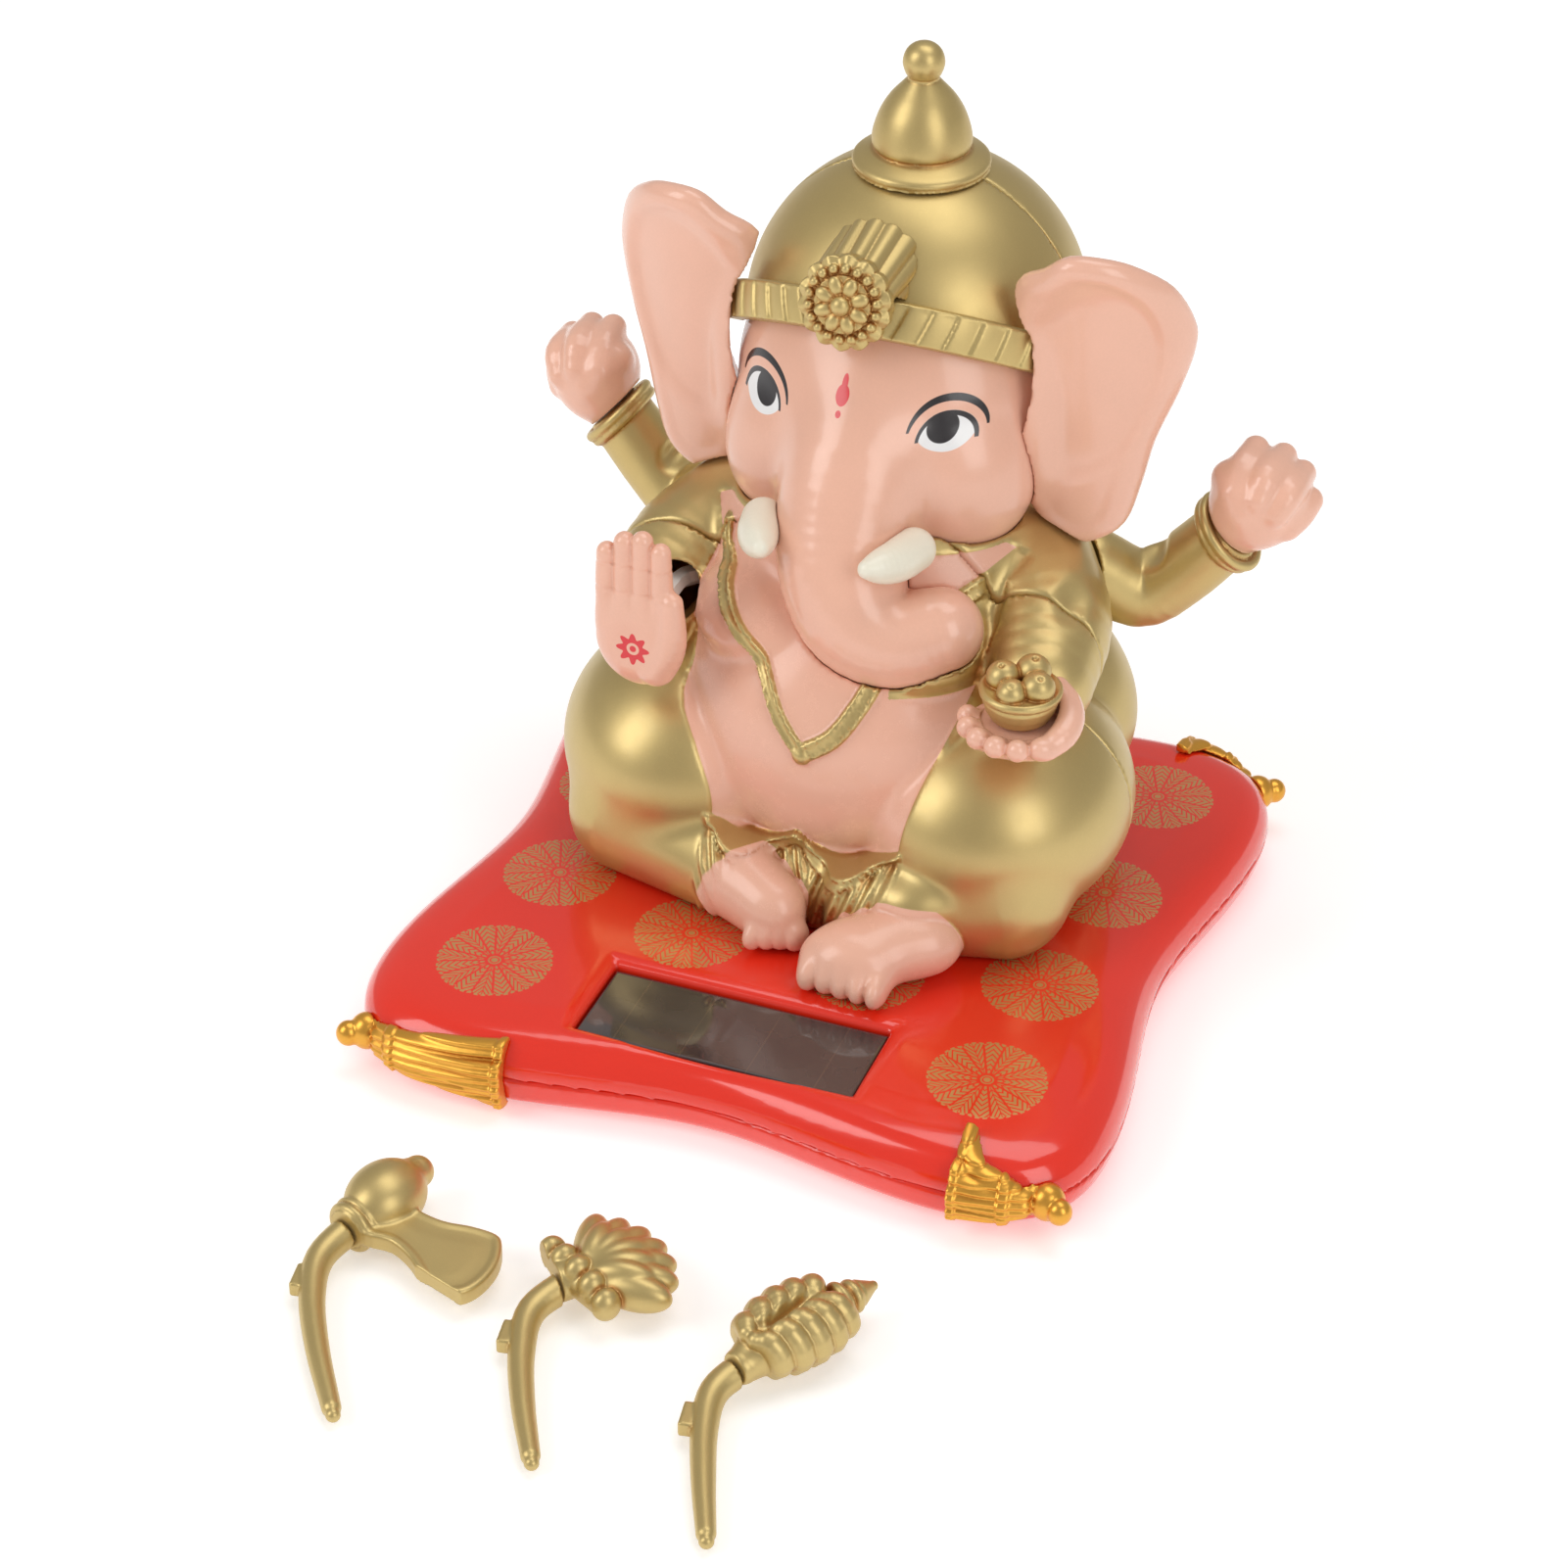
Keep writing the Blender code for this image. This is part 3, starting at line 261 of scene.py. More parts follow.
def polygonise(field, low, high, cell):
    """Closed quad mesh of field == 0, its points drawn onto the surface."""
    block = 4
    low = np.asarray(low, float) - 2 * cell
    count = np.ceil((np.asarray(high, float) + 2 * cell - low) / (cell * block)).astype(int)
    index = np.stack(np.meshgrid(*[np.arange(n) for n in count], indexing="ij"), -1).reshape(-1, 3)
    coarse = field(low + (index * block + 1.5) * cell)
    near = np.abs(coarse) < 5.5 * cell
    sub = np.stack(np.meshgrid(*[np.arange(block)] * 3, indexing="ij"), -1).reshape(-1, 3)
    values = np.sign(coarse).reshape(count) * 3 * cell
    for axis in range(3):
        values = np.repeat(values, block, axis)
    chosen = index[near]
    for start in range(0, len(chosen), 6000):
        fine = (chosen[start : start + 6000, None, :] * block + sub[None]).reshape(-1, 3)
        values[fine[:, 0], fine[:, 1], fine[:, 2]] = field(low + fine * cell)
    grid = openvdb.FloatGrid(background=3 * cell)
    grid.copyFromArray(values.astype(np.float32))
    points, triangles, quads = grid.convertToPolygons(isovalue=0.0, adaptivity=0.0)
    points = low + np.asarray(points, float) * cell
    quads = np.asarray(quads, int)
    a, b, c, d = (points[quads[:, i]] for i in range(4))
    if (np.cross(c - a, d - b) * (a + b + c + d)).sum() < 0:
        quads = quads[:, ::-1]
    for _ in range(2):
        here, slope = gradient(field, points)
        move = here / np.maximum((slope * slope).sum(1), 0.2)
        points = points - np.clip(move, -cell, cell)[:, None] * slope
    return points, quads


def cavity(field, points, reach=1.6):
    """How enclosed each point is: 0 on open or rounded-out surface, towards 1 in a fold; the looks paint shade by
    it.
    """
    here, slope = gradient(field, points)
    normal = slope / np.maximum(np.linalg.norm(slope, axis=1), 1e-6)[:, None]
    return np.clip(1 - field(points + normal * reach) / reach, 0, 1)


def new_piece(name, points, faces, body, nodes, slot, material, marks=None):
    mesh = bpy.data.meshes.new(name)
    points = np.asarray(points, np.float32) * MM
    faces = np.asarray(faces, np.int32)
    sides = faces.shape[1]
    mesh.vertices.add(len(points))
    mesh.vertices.foreach_set("co", points.ravel())
    mesh.loops.add(faces.size)
    mesh.loops.foreach_set("vertex_index", faces.ravel())
    mesh.polygons.add(len(faces))
    mesh.polygons.foreach_set("loop_start", np.arange(len(faces), dtype=np.int32) * sides)
    mesh.update(calc_edges=True)
    mesh.polygons.foreach_set("use_smooth", np.ones(len(faces), bool))
    for title, values in (marks or {}).items():
        attribute = mesh.attributes.new(title, "FLOAT", "POINT")
        attribute.data.foreach_set("value", np.asarray(values, np.float32))
    mesh.materials.append(material)
    made = bpy.data.objects.new(name, mesh)
    bpy.context.scene.collection.objects.link(made)
    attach(made, body)
    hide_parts(*nodes)
    return made


def solid(
    name, field, low, high, cell, body, nodes, slot, material, marks=None, open_field=None, reach=1.6
):
    """A piece from its field.

    marks are named functions of the points; the cavity mark, which sets the painted crease shade, is read from
    open_field where it is given.
    """
    points, faces = polygonise(field, low, high, cell)
    values = {title: mark(points) for title, mark in (marks or {}).items()}
    values["cavity"] = cavity(open_field or field, points, reach)
    return new_piece(name, points, faces, body, nodes, slot, material, values)


def room_of(node, spare=0.6):
    """The CAD node's box in millimetres, widened by spare."""
    low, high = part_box(node)
    return np.array(low) / MM - spare, np.array(high) / MM + spare


# ------------------------------------------------------------------ material kit


class Num:
    """A value in a material, so that a pattern can be written as arithmetic."""

    def __init__(self, tree, socket):
        self.tree = tree
        self.socket = socket

    def do(self, kind, *others):
        node = self.tree.nodes.new("ShaderNodeMath")
        node.operation = kind
        self.tree.links.new(self.socket, node.inputs[0])
        for slot, other in zip(node.inputs[1:], others):
            if isinstance(other, Num):
                self.tree.links.new(other.socket, slot)
            else:
                slot.default_value = other
        return Num(self.tree, node.outputs[0])

    def __add__(self, other):
        return self.do("ADD", other)

    def __sub__(self, other):
        return self.do("SUBTRACT", other)

    def __mul__(self, other):
        return self.do("MULTIPLY", other)

    def __truediv__(self, other):
        return self.do("DIVIDE", other)

    def low(self, other):
        return self.do("MINIMUM", other)

    def high(self, other):
        return self.do("MAXIMUM", other)

    def root(self):
        return self.do("SQRT")

    def size(self):
        return self.do("ABSOLUTE")

    def above(self, edge, soft):
        """1 where this is over edge, 0 below, over a soft width."""
        return ((self - edge) / soft + 0.5).do("MAXIMUM", 0.0).do("MINIMUM", 1.0)

    def below(self, edge, soft):
        return ((self - edge) / (-soft) + 0.5).do("MAXIMUM", 0.0).do("MINIMUM", 1.0)

    def wave(self, period):
        """A rounded 0 to 1 wave."""
        return (self * (2 * math.pi / period)).do("SINE") * 0.5 + 0.5


class Look:
    """One Principled material with a node tree that patterns are added to."""

    def __init__(self, name, colour, roughness, metallic=0.0, **fixed):
        self.material = bpy.data.materials.new(name)
        self.material.use_nodes = True
        self.tree = self.material.node_tree
        self.shader = self.tree.nodes["Principled BSDF"]
        self.shader.inputs["Metallic"].default_value = metallic
        for title, value in fixed.items():
            self.shader.inputs[title.replace("_", " ")].default_value = value
        self.coordinates = self.tree.nodes.new("ShaderNodeTexCoord").outputs["Object"]
        node = self.tree.nodes.new("ShaderNodeSeparateXYZ")
        self.tree.links.new(self.coordinates, node.inputs[0])
        self.x, self.y, self.z = (Num(self.tree, node.outputs[i]) * 1000.0 for i in range(3))
        self.colour = colour
        self.metallic = metallic
        fine = self.noise(0.35)
        broad = self.noise(7.0)
        self.tinted(tuple(c * 0.9 for c in colour), broad.above(0.55, 0.5) * 0.35)
        self.tinted(tuple(min(1, c * 1.08) for c in colour), fine.above(0.6, 0.4) * 0.3)
        self.rough = self.noise(2.2) * 0.08 + (roughness - 0.04)
        self.relief = None

    def noise(self, size, detail=3.0, stretch=None):
        node = self.tree.nodes.new("ShaderNodeTexNoise")
        node.inputs["Scale"].default_value = 1000.0 / size
        node.inputs["Detail"].default_value = detail
        source = self.coordinates
        if stretch:
            mapping = self.tree.nodes.new("ShaderNodeMapping")
            mapping.inputs["Scale"].default_value = stretch
            self.tree.links.new(source, mapping.inputs["Vector"])
            source = mapping.outputs[0]
        self.tree.links.new(source, node.inputs["Vector"])
        return Num(self.tree, node.outputs["Fac"])

    def mark(self, title):
        node = self.tree.nodes.new("ShaderNodeAttribute")
        node.attribute_name = title
        return Num(self.tree, node.outputs["Fac"])

    def tinted(self, colour, amount):
        """Lays a colour over what is there, by amount."""
        node = self.tree.nodes.new("ShaderNodeMix")
        node.data_type = "RGBA"
        self.tree.links.new(amount.socket, node.inputs[0])
        if isinstance(self.colour, tuple):
            node.inputs[6].default_value = (*self.colour, 1)
        else:
            self.tree.links.new(self.colour, node.inputs[6])
        node.inputs[7].default_value = (*colour, 1)
        self.colour = node.outputs[2]

    def done(self, bump=0.0, distance=0.05):
        self.tree.links.new(self.colour, self.shader.inputs["Base Color"])
        self.tree.links.new(self.rough.socket, self.shader.inputs["Roughness"])
        if isinstance(self.metallic, Num):
            self.tree.links.new(self.metallic.socket, self.shader.inputs["Metallic"])
        if self.relief is not None:
            node = self.tree.nodes.new("ShaderNodeBump")
            node.inputs["Strength"].default_value = bump
            node.inputs["Distance"].default_value = distance * MM
            self.tree.links.new(self.relief.socket, node.inputs["Height"])
            self.tree.links.new(node.outputs[0], self.shader.inputs["Normal"])
        return self.material


SKIN = (0.86, 0.485, 0.355)
# painted shade colour that the skin's creases are darkened towards
SKIN_CREASE_SHADE = (0.62, 0.2, 0.1)
GOLD = (0.6, 0.455, 0.19)
# painted shade colour that the gold's creases are darkened towards
GOLD_CREASE_SHADE = (0.42, 0.16, 0.03)
RED = (0.84, 0.026, 0.008)
PRINT = (0.62, 0.36, 0.12)
TASSEL = (0.8, 0.4, 0.06)
INK = (0.018, 0.014, 0.016)
EYE_WHITE = (0.86, 0.86, 0.86)
MARK_RED = (0.72, 0.02, 0.03)


# Painted shade: darkens a look towards a shade colour where the cavity mark says the surface is enclosed.
def paint_crease_shade(look, shade_colour, low=0.25, high=0.85, strength=0.75):
    look.tinted(shade_colour, look.mark("cavity").above((low + high) / 2, high - low) * strength)


def gold_look(name, colour=GOLD, shade_colour=GOLD_CREASE_SHADE, roughness=0.38):
    look = Look(name, colour, roughness, 0.8)
    # painted shade in the gold's creases
    paint_crease_shade(look, shade_colour)
    grain = look.noise(0.16, 2.0)
    look.tinted(tuple(min(1, c * 1.25) for c in colour), grain.above(0.66, 0.1) * 0.3)
    look.rough = look.rough + grain * 0.06
    look.relief = grain
    return look.done(0.16, 0.03)


def skin_look(name, prints=None):
    look = Look(name, SKIN, 0.24, 0.0, Specular_IOR_Level=0.55, Coat_Weight=0.25, Coat_Roughness=0.08)
    # painted shade in the skin's creases
    paint_crease_shade(look, SKIN_CREASE_SHADE, 0.3, 1.0, 0.45)
    if prints:
        prints(look)
    look.relief = look.noise(0.9)
    return look.done(0.05, 0.03)


def circle_through(a, b, c):
    """Centre and radius of the circle through three points."""
    (ax, ay), (bx, by), (cx, cy) = a, b, c
    d = 2 * (ax * (by - cy) + bx * (cy - ay) + cx * (ay - by))
    sa, sb, sc = ax * ax + ay * ay, bx * bx + by * by, cx * cx + cy * cy
    ux = (sa * (by - cy) + sb * (cy - ay) + sc * (ay - by)) / d
    uy = (sa * (cx - bx) + sb * (ax - cx) + sc * (bx - ax)) / d
    return ux, uy, math.hypot(ax - ux, ay - uy)


def disc(u, v, circle, sides=(1.0, 1.0)):
    """Signed distance to a circle in the plane of two values, negative inside."""
    x, y, r = circle
    across = (u - x) / sides[0]
    along = (v - y) / sides[1]
    return (across * across + along * along).root() - r


EDGE = 0.07  # width of a printed edge


def face_prints(look):
    u = (look.x - FACE_MIDDLE).size()
    v = look.z - 0.4
    front = look.y.below(22.0, 0.5)
    lid_over = circle_through((10.2, 83.0), (13.9, 86.9), (17.7, 83.6))
    lid_under = circle_through((10.6, 83.1), (13.9, 86.25), (17.2, 83.4))
    lower = circle_through((10.6, 83.1), (13.2, 81.5), (17.2, 83.6))
    white = disc(u, v, lid_over).high(disc(u, v, lower))
    look.tinted(EYE_WHITE, white.below(0.0, EDGE) * front)
    pupil = disc(u, v, (13.3, 84.75, 1.95), (1.0, 1.12)).high(disc(u, v, lid_over))
    look.tinted(INK, pupil.below(0.0, EDGE) * front)
    lid = disc(u, v, lid_over).high(disc(u, v, lid_under) * -1.0).high((v - 83.0) * -1.0)
    look.tinted(INK, lid.below(0.0, EDGE) * front)
    brow_over = circle_through((9.0, 84.6), (14.0, 89.1), (18.5, 85.6))
    brow_under = circle_through((9.3, 84.3), (13.8, 88.1), (18.2, 85.1))
    brow = disc(u, v, brow_over).high(disc(u, v, brow_under) * -1.0).high((v - 84.4) * -1.0)
    look.tinted(INK, brow.below(0.0, EDGE) * front)
    drop = disc(look.x, v, (FACE_MIDDLE - 0.3, 88.6, 1.0), (1.0, 1.25))
    point = disc(look.x, v, (FACE_MIDDLE - 0.3, 90.0, 0.5), (0.9, 2.2))
    dot = disc(look.x, v, (FACE_MIDDLE - 0.3, 86.5, 0.42))
    look.tinted(MARK_RED, drop.low(point).low(dot).below(0.0, EDGE) * front)


def palm_prints(look):
    u = look.x - PALM[0]
    v = look.z - (PALM[2] - 5.2)
    r = (u * u + v * v).root()
    angle = v.do("ARCTAN2", u)
    petals = (angle * 8.0).do("COSINE") * 0.45 + 2.1
    ring = (r - petals).high((r - 0.95) * -1.0)
    seed = r - 0.5
    front = look.y.below(PALM[1] - 1.0, 0.4)
    look.tinted(MARK_RED, ring.low(seed).below(0.0, EDGE) * front)


def printed_red():
    """Gloss red plastic with round gold flowers of ribbed petals printed on its top."""
    look = Look("red_plastic", RED, 0.16, 0.0, Coat_Weight=0.6, Coat_Roughness=0.04, Specular_IOR_Level=0.5)
    across = look.x.size()
    u = v = shown = None
    for px, py in PRINTS:
        du, dv = across - px, look.y - py
        inside = (du * du + dv * dv).root().below(PRINT_RADIUS + 0.4, 0.001)
        u = du * inside if u is None else u + du * inside
        v = dv * inside if v is None else v + dv * inside
        shown = inside if shown is None else shown + inside
    r = (u * u + v * v).root()
    angle = v.do("ARCTAN2", u)
    sector = 2 * math.pi / 16
    part = (angle + math.pi) / sector
    number = part.do("FLOOR")
    off = (part - number - 0.5).size() * sector
    odd = (number * 0.5).do("FRACT").above(0.25, 0.001)
    side = off.do("SINE") * r
    out = off.do("COSINE") * r
    chevron = (out + side * 1.3).do("MODULO", 1.1) / 1.1
    leaf = (out - side * 1.6 + 8.0).do("MODULO", 1.0) / 1.0
    ribs = chevron.above(0.36, 0.1) * (odd * -1.0 + 1.0) + leaf.above(0.38, 0.1) * odd
    border = (off * -1.0 + sector / 2) * r
    ribs = ribs * border.above(0.17, 0.05)
    ribs = ribs * side.above(0.07, 0.05).high(odd * -1.0 + 1.0)
    scallop = (off * -8.0).do("COSINE").size() * 0.35 + (PRINT_RADIUS - 0.35)
    rim = r.below(PRINT_RADIUS - 0.1, EDGE) * (r - scallop).below(0.0, EDGE)
    inner = (r - scallop).below(-0.35, EDGE)
    lines = ribs * inner + rim * (inner * -1.0 + 1.0) * (angle * 48.0).wave(2 * math.pi).above(0.35, 0.1)
    heart = r.below(0.95, EDGE) * (r - 0.62).size().above(0.12, 0.05)
    lines = lines * r.above(1.1, EDGE) + heart
    top = look.z.above(BASE_TOP - 1.2, 0.1)
    shown = lines * shown * top * rim
    look.tinted(PRINT, shown * 0.92)
    look.rough = look.rough + shown * 0.18
    look.metallic = shown * 0.45
    look.relief = shown + look.noise(5.0) * 0.2
    return look.done(0.25, 0.03)


def body_look():
    """Skin and gold paint on one moulding: the attribute paint is over 0 where it is skin."""
    look = Look("body_paint", GOLD, 0.37, 0.8, Coat_Weight=0.15, Coat_Roughness=0.1)
    # painted shade in the gold's creases
    paint_crease_shade(look, GOLD_CREASE_SHADE)
    grain = look.noise(0.16, 2.0)
    look.tinted(tuple(min(1, c * 1.25) for c in GOLD), grain.above(0.66, 0.1) * 0.3)
    skin = look.mark("paint").above(0.0, 0.08)
    look.tinted(SKIN, skin)
    # painted shade in the creases of the skin areas
    look.tinted(SKIN_CREASE_SHADE, skin * look.mark("cavity").above(0.65, 0.7) * 0.45)
    look.metallic = skin * -0.8 + 0.8
    look.rough = look.rough + skin * -0.13 + grain * 0.05
    look.relief = grain * (skin * -1.0 + 1.0)
    return look.done(0.16, 0.03)


def plain_look(name, colour, roughness, metallic=0.0, grain=0.4, bump=0.08, stretch=None, **fixed):
    look = Look(name, colour, roughness, metallic, **fixed)
    look.relief = look.noise(grain, 3.0, stretch)
    return look.done(bump, 0.05)


skin_plain = skin_look("skin")
skin_face = skin_look("skin_face", face_prints)
skin_palm = skin_look("skin_palm", palm_prints)
gold_paint = gold_look("gold")
# the third colour is the painted shade for the tassels' creases
tassel_paint = gold_look("tassel_gold", TASSEL, (0.5, 0.13, 0.01), 0.28)
red_plastic = printed_red()
body_paint = body_look()
ivory_look = Look("ivory", (0.86, 0.82, 0.68), 0.3, 0.0)
# painted shade in the tusks' creases and where they meet the head
paint_crease_shade(ivory_look, (0.55, 0.4, 0.2), 0.4, 1.0, 0.5)
ivory_look.relief = ivory_look.noise(0.8)
ivory = ivory_look.done(0.06)

# ------------------------------------------------------------------ base


def outline_reach(x, y):
    """How far the cushion's outline lies from its middle, towards each point."""
    r = np.maximum(np.hypot(x, y), 1e-6)
    across, along = np.abs(x) / r, np.abs(y) / r
    reach = BASE_HALF / (across**6 + along**6) ** (1 / 6)
    return reach * (1 + BASE_CORNER * (2 * across * along) ** 2), r


SIDE_LINE = [(-inset, z) for inset, z in SIDE_PROFILE]
SIDE_CLOSED = np.vstack([smooth_line(SIDE_LINE, 5), [(-60, BASE_TOP), (-60, 0)]])


def cushion(p):
    reach, r = outline_reach(p[:, 0], p[:, 1])
    return polygon(r - reach, p[:, 2], SIDE_CLOSED) * 0.97


SCREW_CORNER = 37.0
BODY_SCREWS = (21.0, 36.0)
SCREW_HOLE = 1.4
SCREW_HEAD = 2.4
SEAT = 8.1


def corner_rod(p, radius, low, high):
    q = np.column_stack([np.abs(p[:, 0]), np.abs(p[:, 1]), p[:, 2]])
    return rod(q, (SCREW_CORNER, SCREW_CORNER, (low + high) / 2), radius, (high - low) / 2)


def base_top(p):
    skin = cushion(p)
    d = np.maximum(skin, -(skin + WALL))
    d = np.minimum(d, np.maximum(box(p, (0, WINDOW_Y, 8.8), (47.2, 19.4, 4.4)), skin + 0.4))
    d = np.minimum(d, corner_rod(p, 3.0, 6.4, 11.0))
    d = np.maximum(d, PARTING + SEAM_GAP - p[:, 2])
    beyond = np.abs(p[:, 0]) - WINDOW[0] / 2 - GAP
    hole = np.maximum(beyond, np.abs(p[:, 1] - WINDOW_Y) - WINDOW[1] / 2 - GAP)
    chamfer = (hole - np.maximum(p[:, 2] - (BASE_TOP - 0.75), 0) * 1.7) * 0.6
    d = cut(d, np.maximum(chamfer, SEAT - p[:, 2]), 0.8)
    d = carve(d, box(p, (0, WINDOW_Y, SEAT), (30, 7, 9)), corner_rod(p, SCREW_HOLE, 0.9, 9.9))
    return carve(d, rod(mirrored(p), (*BODY_SCREWS, 10), SCREW_HOLE, 6))


def base_bottom(p):
    skin = cushion(p)
    d = np.maximum(skin, -(skin + WALL))
    d = np.minimum(d, corner_rod(p, 4.0, 1.0, 5.6))
    d = np.maximum(np.maximum(d, p[:, 2] - (PARTING - SEAM_GAP)), -p[:, 2])
    return carve(d, corner_rod(p, SCREW_HOLE, -3, 12), corner_rod(p, SCREW_HEAD, -3.1, 1.9))


base_box = ((-58, -58, -0.5), (58, 58, 13))
solid("base_top_moulding", base_top, *base_box, 0.6, "figure", ["base_top_shell"], "red_base", red_plastic)
solid("base_bottom_moulding", base_bottom, *base_box, 0.65, "figure", ["base_bottom_cover"], "red_base",
      red_plastic)


def slab(p, size, top, thick, edge):
    return box(p, (0, WINDOW_Y, top - thick / 2), (*size, thick), round_=edge)


glass = Look("smoked_window", (0.045, 0.035, 0.035), 0.06, 0.0, Coat_Weight=1.0, Coat_Roughness=0.02)
stripe = (glass.x + 20.0).do("MODULO", 10.0)
glass.tinted((0.1, 0.065, 0.045), (stripe - 5.0).size().below(0.09, 0.05) * 0.8)
glass.tinted((0.075, 0.06, 0.055), glass.noise(9.0).above(0.5, 0.3) * 0.7)
glass.relief = glass.noise(4.0)
window_look = glass.done(0.02)
window_box = ((-21, WINDOW_Y - 8, 8), (21, WINDOW_Y + 8, 11.5))
solid("window_pane", lambda p: slab(p, WINDOW, WINDOW_TOP, 1.0, 0.15), *window_box, 0.25,
      "figure", ["solar_window"], "window", window_look)
CELL_LOOK = plain_look("cell_grey", (0.1, 0.07, 0.07), 0.35, 0.2, 0.5)
solid("cell_plate", lambda p: slab(p, (40.0, 13.6), 9.6, 1.2, 0.1), *window_box, 0.3,
      "figure", ["solar_cell"], "cell", CELL_LOOK)

angles = np.linspace(0, 2 * math.pi, 721)
reach_here, _ = outline_reach(np.cos(angles), np.sin(angles))
EDGE_X = reach_here * np.cos(angles)
EDGE_Y = reach_here * np.sin(angles)
upper_half = EDGE_Y > 20
EDGE_ORDER = np.argsort(EDGE_X[upper_half])
EDGE_AT = EDGE_X[upper_half][EDGE_ORDER], EDGE_Y[upper_half][EDGE_ORDER]
SIDE_Z = [z for _, z in SIDE_PROFILE]
SIDE_IN = [inset for inset, _ in SIDE_PROFILE]


def tassel_field(side, end, length, height):
    """Two beads on the corner, a binding ring and grooved strands that flare to a cut, rimmed end."""
    strands = []
    for k in range(4):
        share = (k / 3 - 0.5) * 2
        line, widths = [], []
        for i in range(6):
            t = i / 5
            x = 47.6 - (length + 0.6) * t
            spread = 1.3 + (height / 2 - 1.9) * t**0.8
            swoop = 0.5 * t if height < 10 else 2.4 * t * t
            spread = spread * (1 if height < 10 else 0.72)
            z = 6.0 + share * spread + swoop + 0.4 * math.sin(t * 3.0 + 0.6)
            y = np.interp(x, *EDGE_AT) - np.interp(z, SIDE_Z, SIDE_IN) + 0.45 + 0.15 * math.sin(t * 7 + k)
            line.append((x * side, y * end, z))
            widths.append(1.35 + 0.35 * t * (height / 9))
        strands.append(curve(line, widths, 3))

    def field(p):
        q = p * np.array([side, end, 1.0])
        d = ball(q, (48.0, 51.0, 6.0), (2.7, 3.0, 3.2), (0, 0, 30))
        d = np.minimum(d, ball(q, (50.7, 51.9, 6.0), (2.5, 2.5, 2.8)))
        d = join(d, ball(q, (52.9, 53.4, 6.0), (1.75, 1.75, 1.9)), 0.35)
        cord = None
        for line, widths in strands:
            one = limb(p, line, widths)
            cord = one if cord is None else join(cord, one, 0.6)
        x = q[:, 0]
        finish = 47.0 - length
        cord = cord - 0.3 * ramp(-np.abs(x - finish - 0.7), -0.75, -0.35)
        cord = cord - 0.35 * ramp(-np.abs(x - 45.6), -1.0, -0.5) + 0.16 * np.sin(p[:, 2] * 5.2 + x * 0.3)
        cord = np.maximum(cord, finish - x)
        d = join(d, cord, 0.5)
        return np.maximum(d, -(cushion(p) - GAP))

    return field


for side, side_name, length, height in ((1, "left", 9.0, 11.4), (-1, "right", 19.0, 8.4)):
    for end, end_name in ((-1, "front"), (1, "rear")):
        node = f"corner_tassel_{side_name}_{end_name}"
        solid(f"tassel_{side_name}_{end_name}", tassel_field(side, end, length, height), *room_of(node, 0.4),
              0.22, "figure", [node], "tassel", tassel_paint, reach=1.0)

# ------------------------------------------------------------------ head and body forms

TRUNK_LINE = curve(TRUNK, TRUNK_RADII, 4)


def skull(p):
    q = mirrored(p)
    d = join(ball(p, (0, 32, 87.6), (22, 22.2, 22)), ball(p, (0, 28, 82), (24, 22.6, 19)), 4)
    d = join(d, ball(p, (0, 20, 76), (20, 16, 13)), 4)
    d = join(d, ball(q, (11.8, 18, 73.5), (11, 11.5, 12)), 3)
    return join(d, limb(p, *TRUNK_LINE), 3.2)


def torso(p):
    """Trunk of the body with the thighs, shoulders and short sleeves."""
    q = mirrored(p)
    d = join(ball(p, (0, 14, 37), (28, 28, 26)), ball(p, (0, 20, 57), (26, 21, 17)), 4)
    d = join(d, ball(p, (0, 26, 31), (37, 22, 24)), 4)
    thigh = ball(q, (23, 6, 28.5), (19.5, 22, 17))
    shin = limb(q, ((28, -6, 21), (11, -12, 18.5)), (10, 7))
    legs = join(thigh, shin, 2.0)
    sleeve = limb(q, *curve(((21.5, 21, 57), (27, 13, 54), (29.5, 3.5, 51)), (9.8, 9.2, 7.4), 4))
    d = join(d, ball(q, (11.0, 5.6, 53.5), (11.5, 13.0, 7.6)), 1.6)
    d = join(join(d, legs, 1.2), sleeve, 1.6)
    return join(d, ball(p, (1.5, -4.0, 16.5), (15.0, 11.0, 10.0)), 1.5)


def toe_row(p, middle, step, count, radii, turn=None):
    d = None
    for i in range(count):
        at = np.asarray(middle) + np.asarray(step) * i
        size = np.asarray(radii) * (1.0 + 0.12 * (i == 0))
        one = ball(p, at, size, turn)
        d = one if d is None else np.minimum(d, one)
    return d


def feet(p):
    """The left foot lies in front, its toes in a row; the right foot is tucked behind it."""
    left = ball(p, (19.0, -17.0, 17.4), (7.0, 6.4, 5.4))
    left = join(left, ball(p, (13.0, -22.4, 16.8), (7.6, 6, 5), (0, 0, 30)), 3.5)
    left = join(left, ball(p, (11.6, -24.6, 15.8), (7.0, 3.8, 3.9), (0, 0, -6)), 2.4)
    left = join(left, toe_row(p, (6.9, -26.6, 15.0), (2.6, -0.3, 0.0), 5, (1.6, 3.0, 2.5)), 1.4)
    right = ball(p, (-9.4, -13.9, 18.4), (7.0, 6.0, 6.2))
    right = join(right, ball(p, (-3.4, -17.0, 17.4), (6.4, 5.2, 5.5), (0, 0, -35)), 3.5)
    folds = toe_row(p, (2.2, -20.0, 14.9), (-1.9, -0.75, 0.0), 4, (1.35, 1.9, 2.0), (0, 0, -25))
    return np.minimum(left, join(right, folds, 1.4))


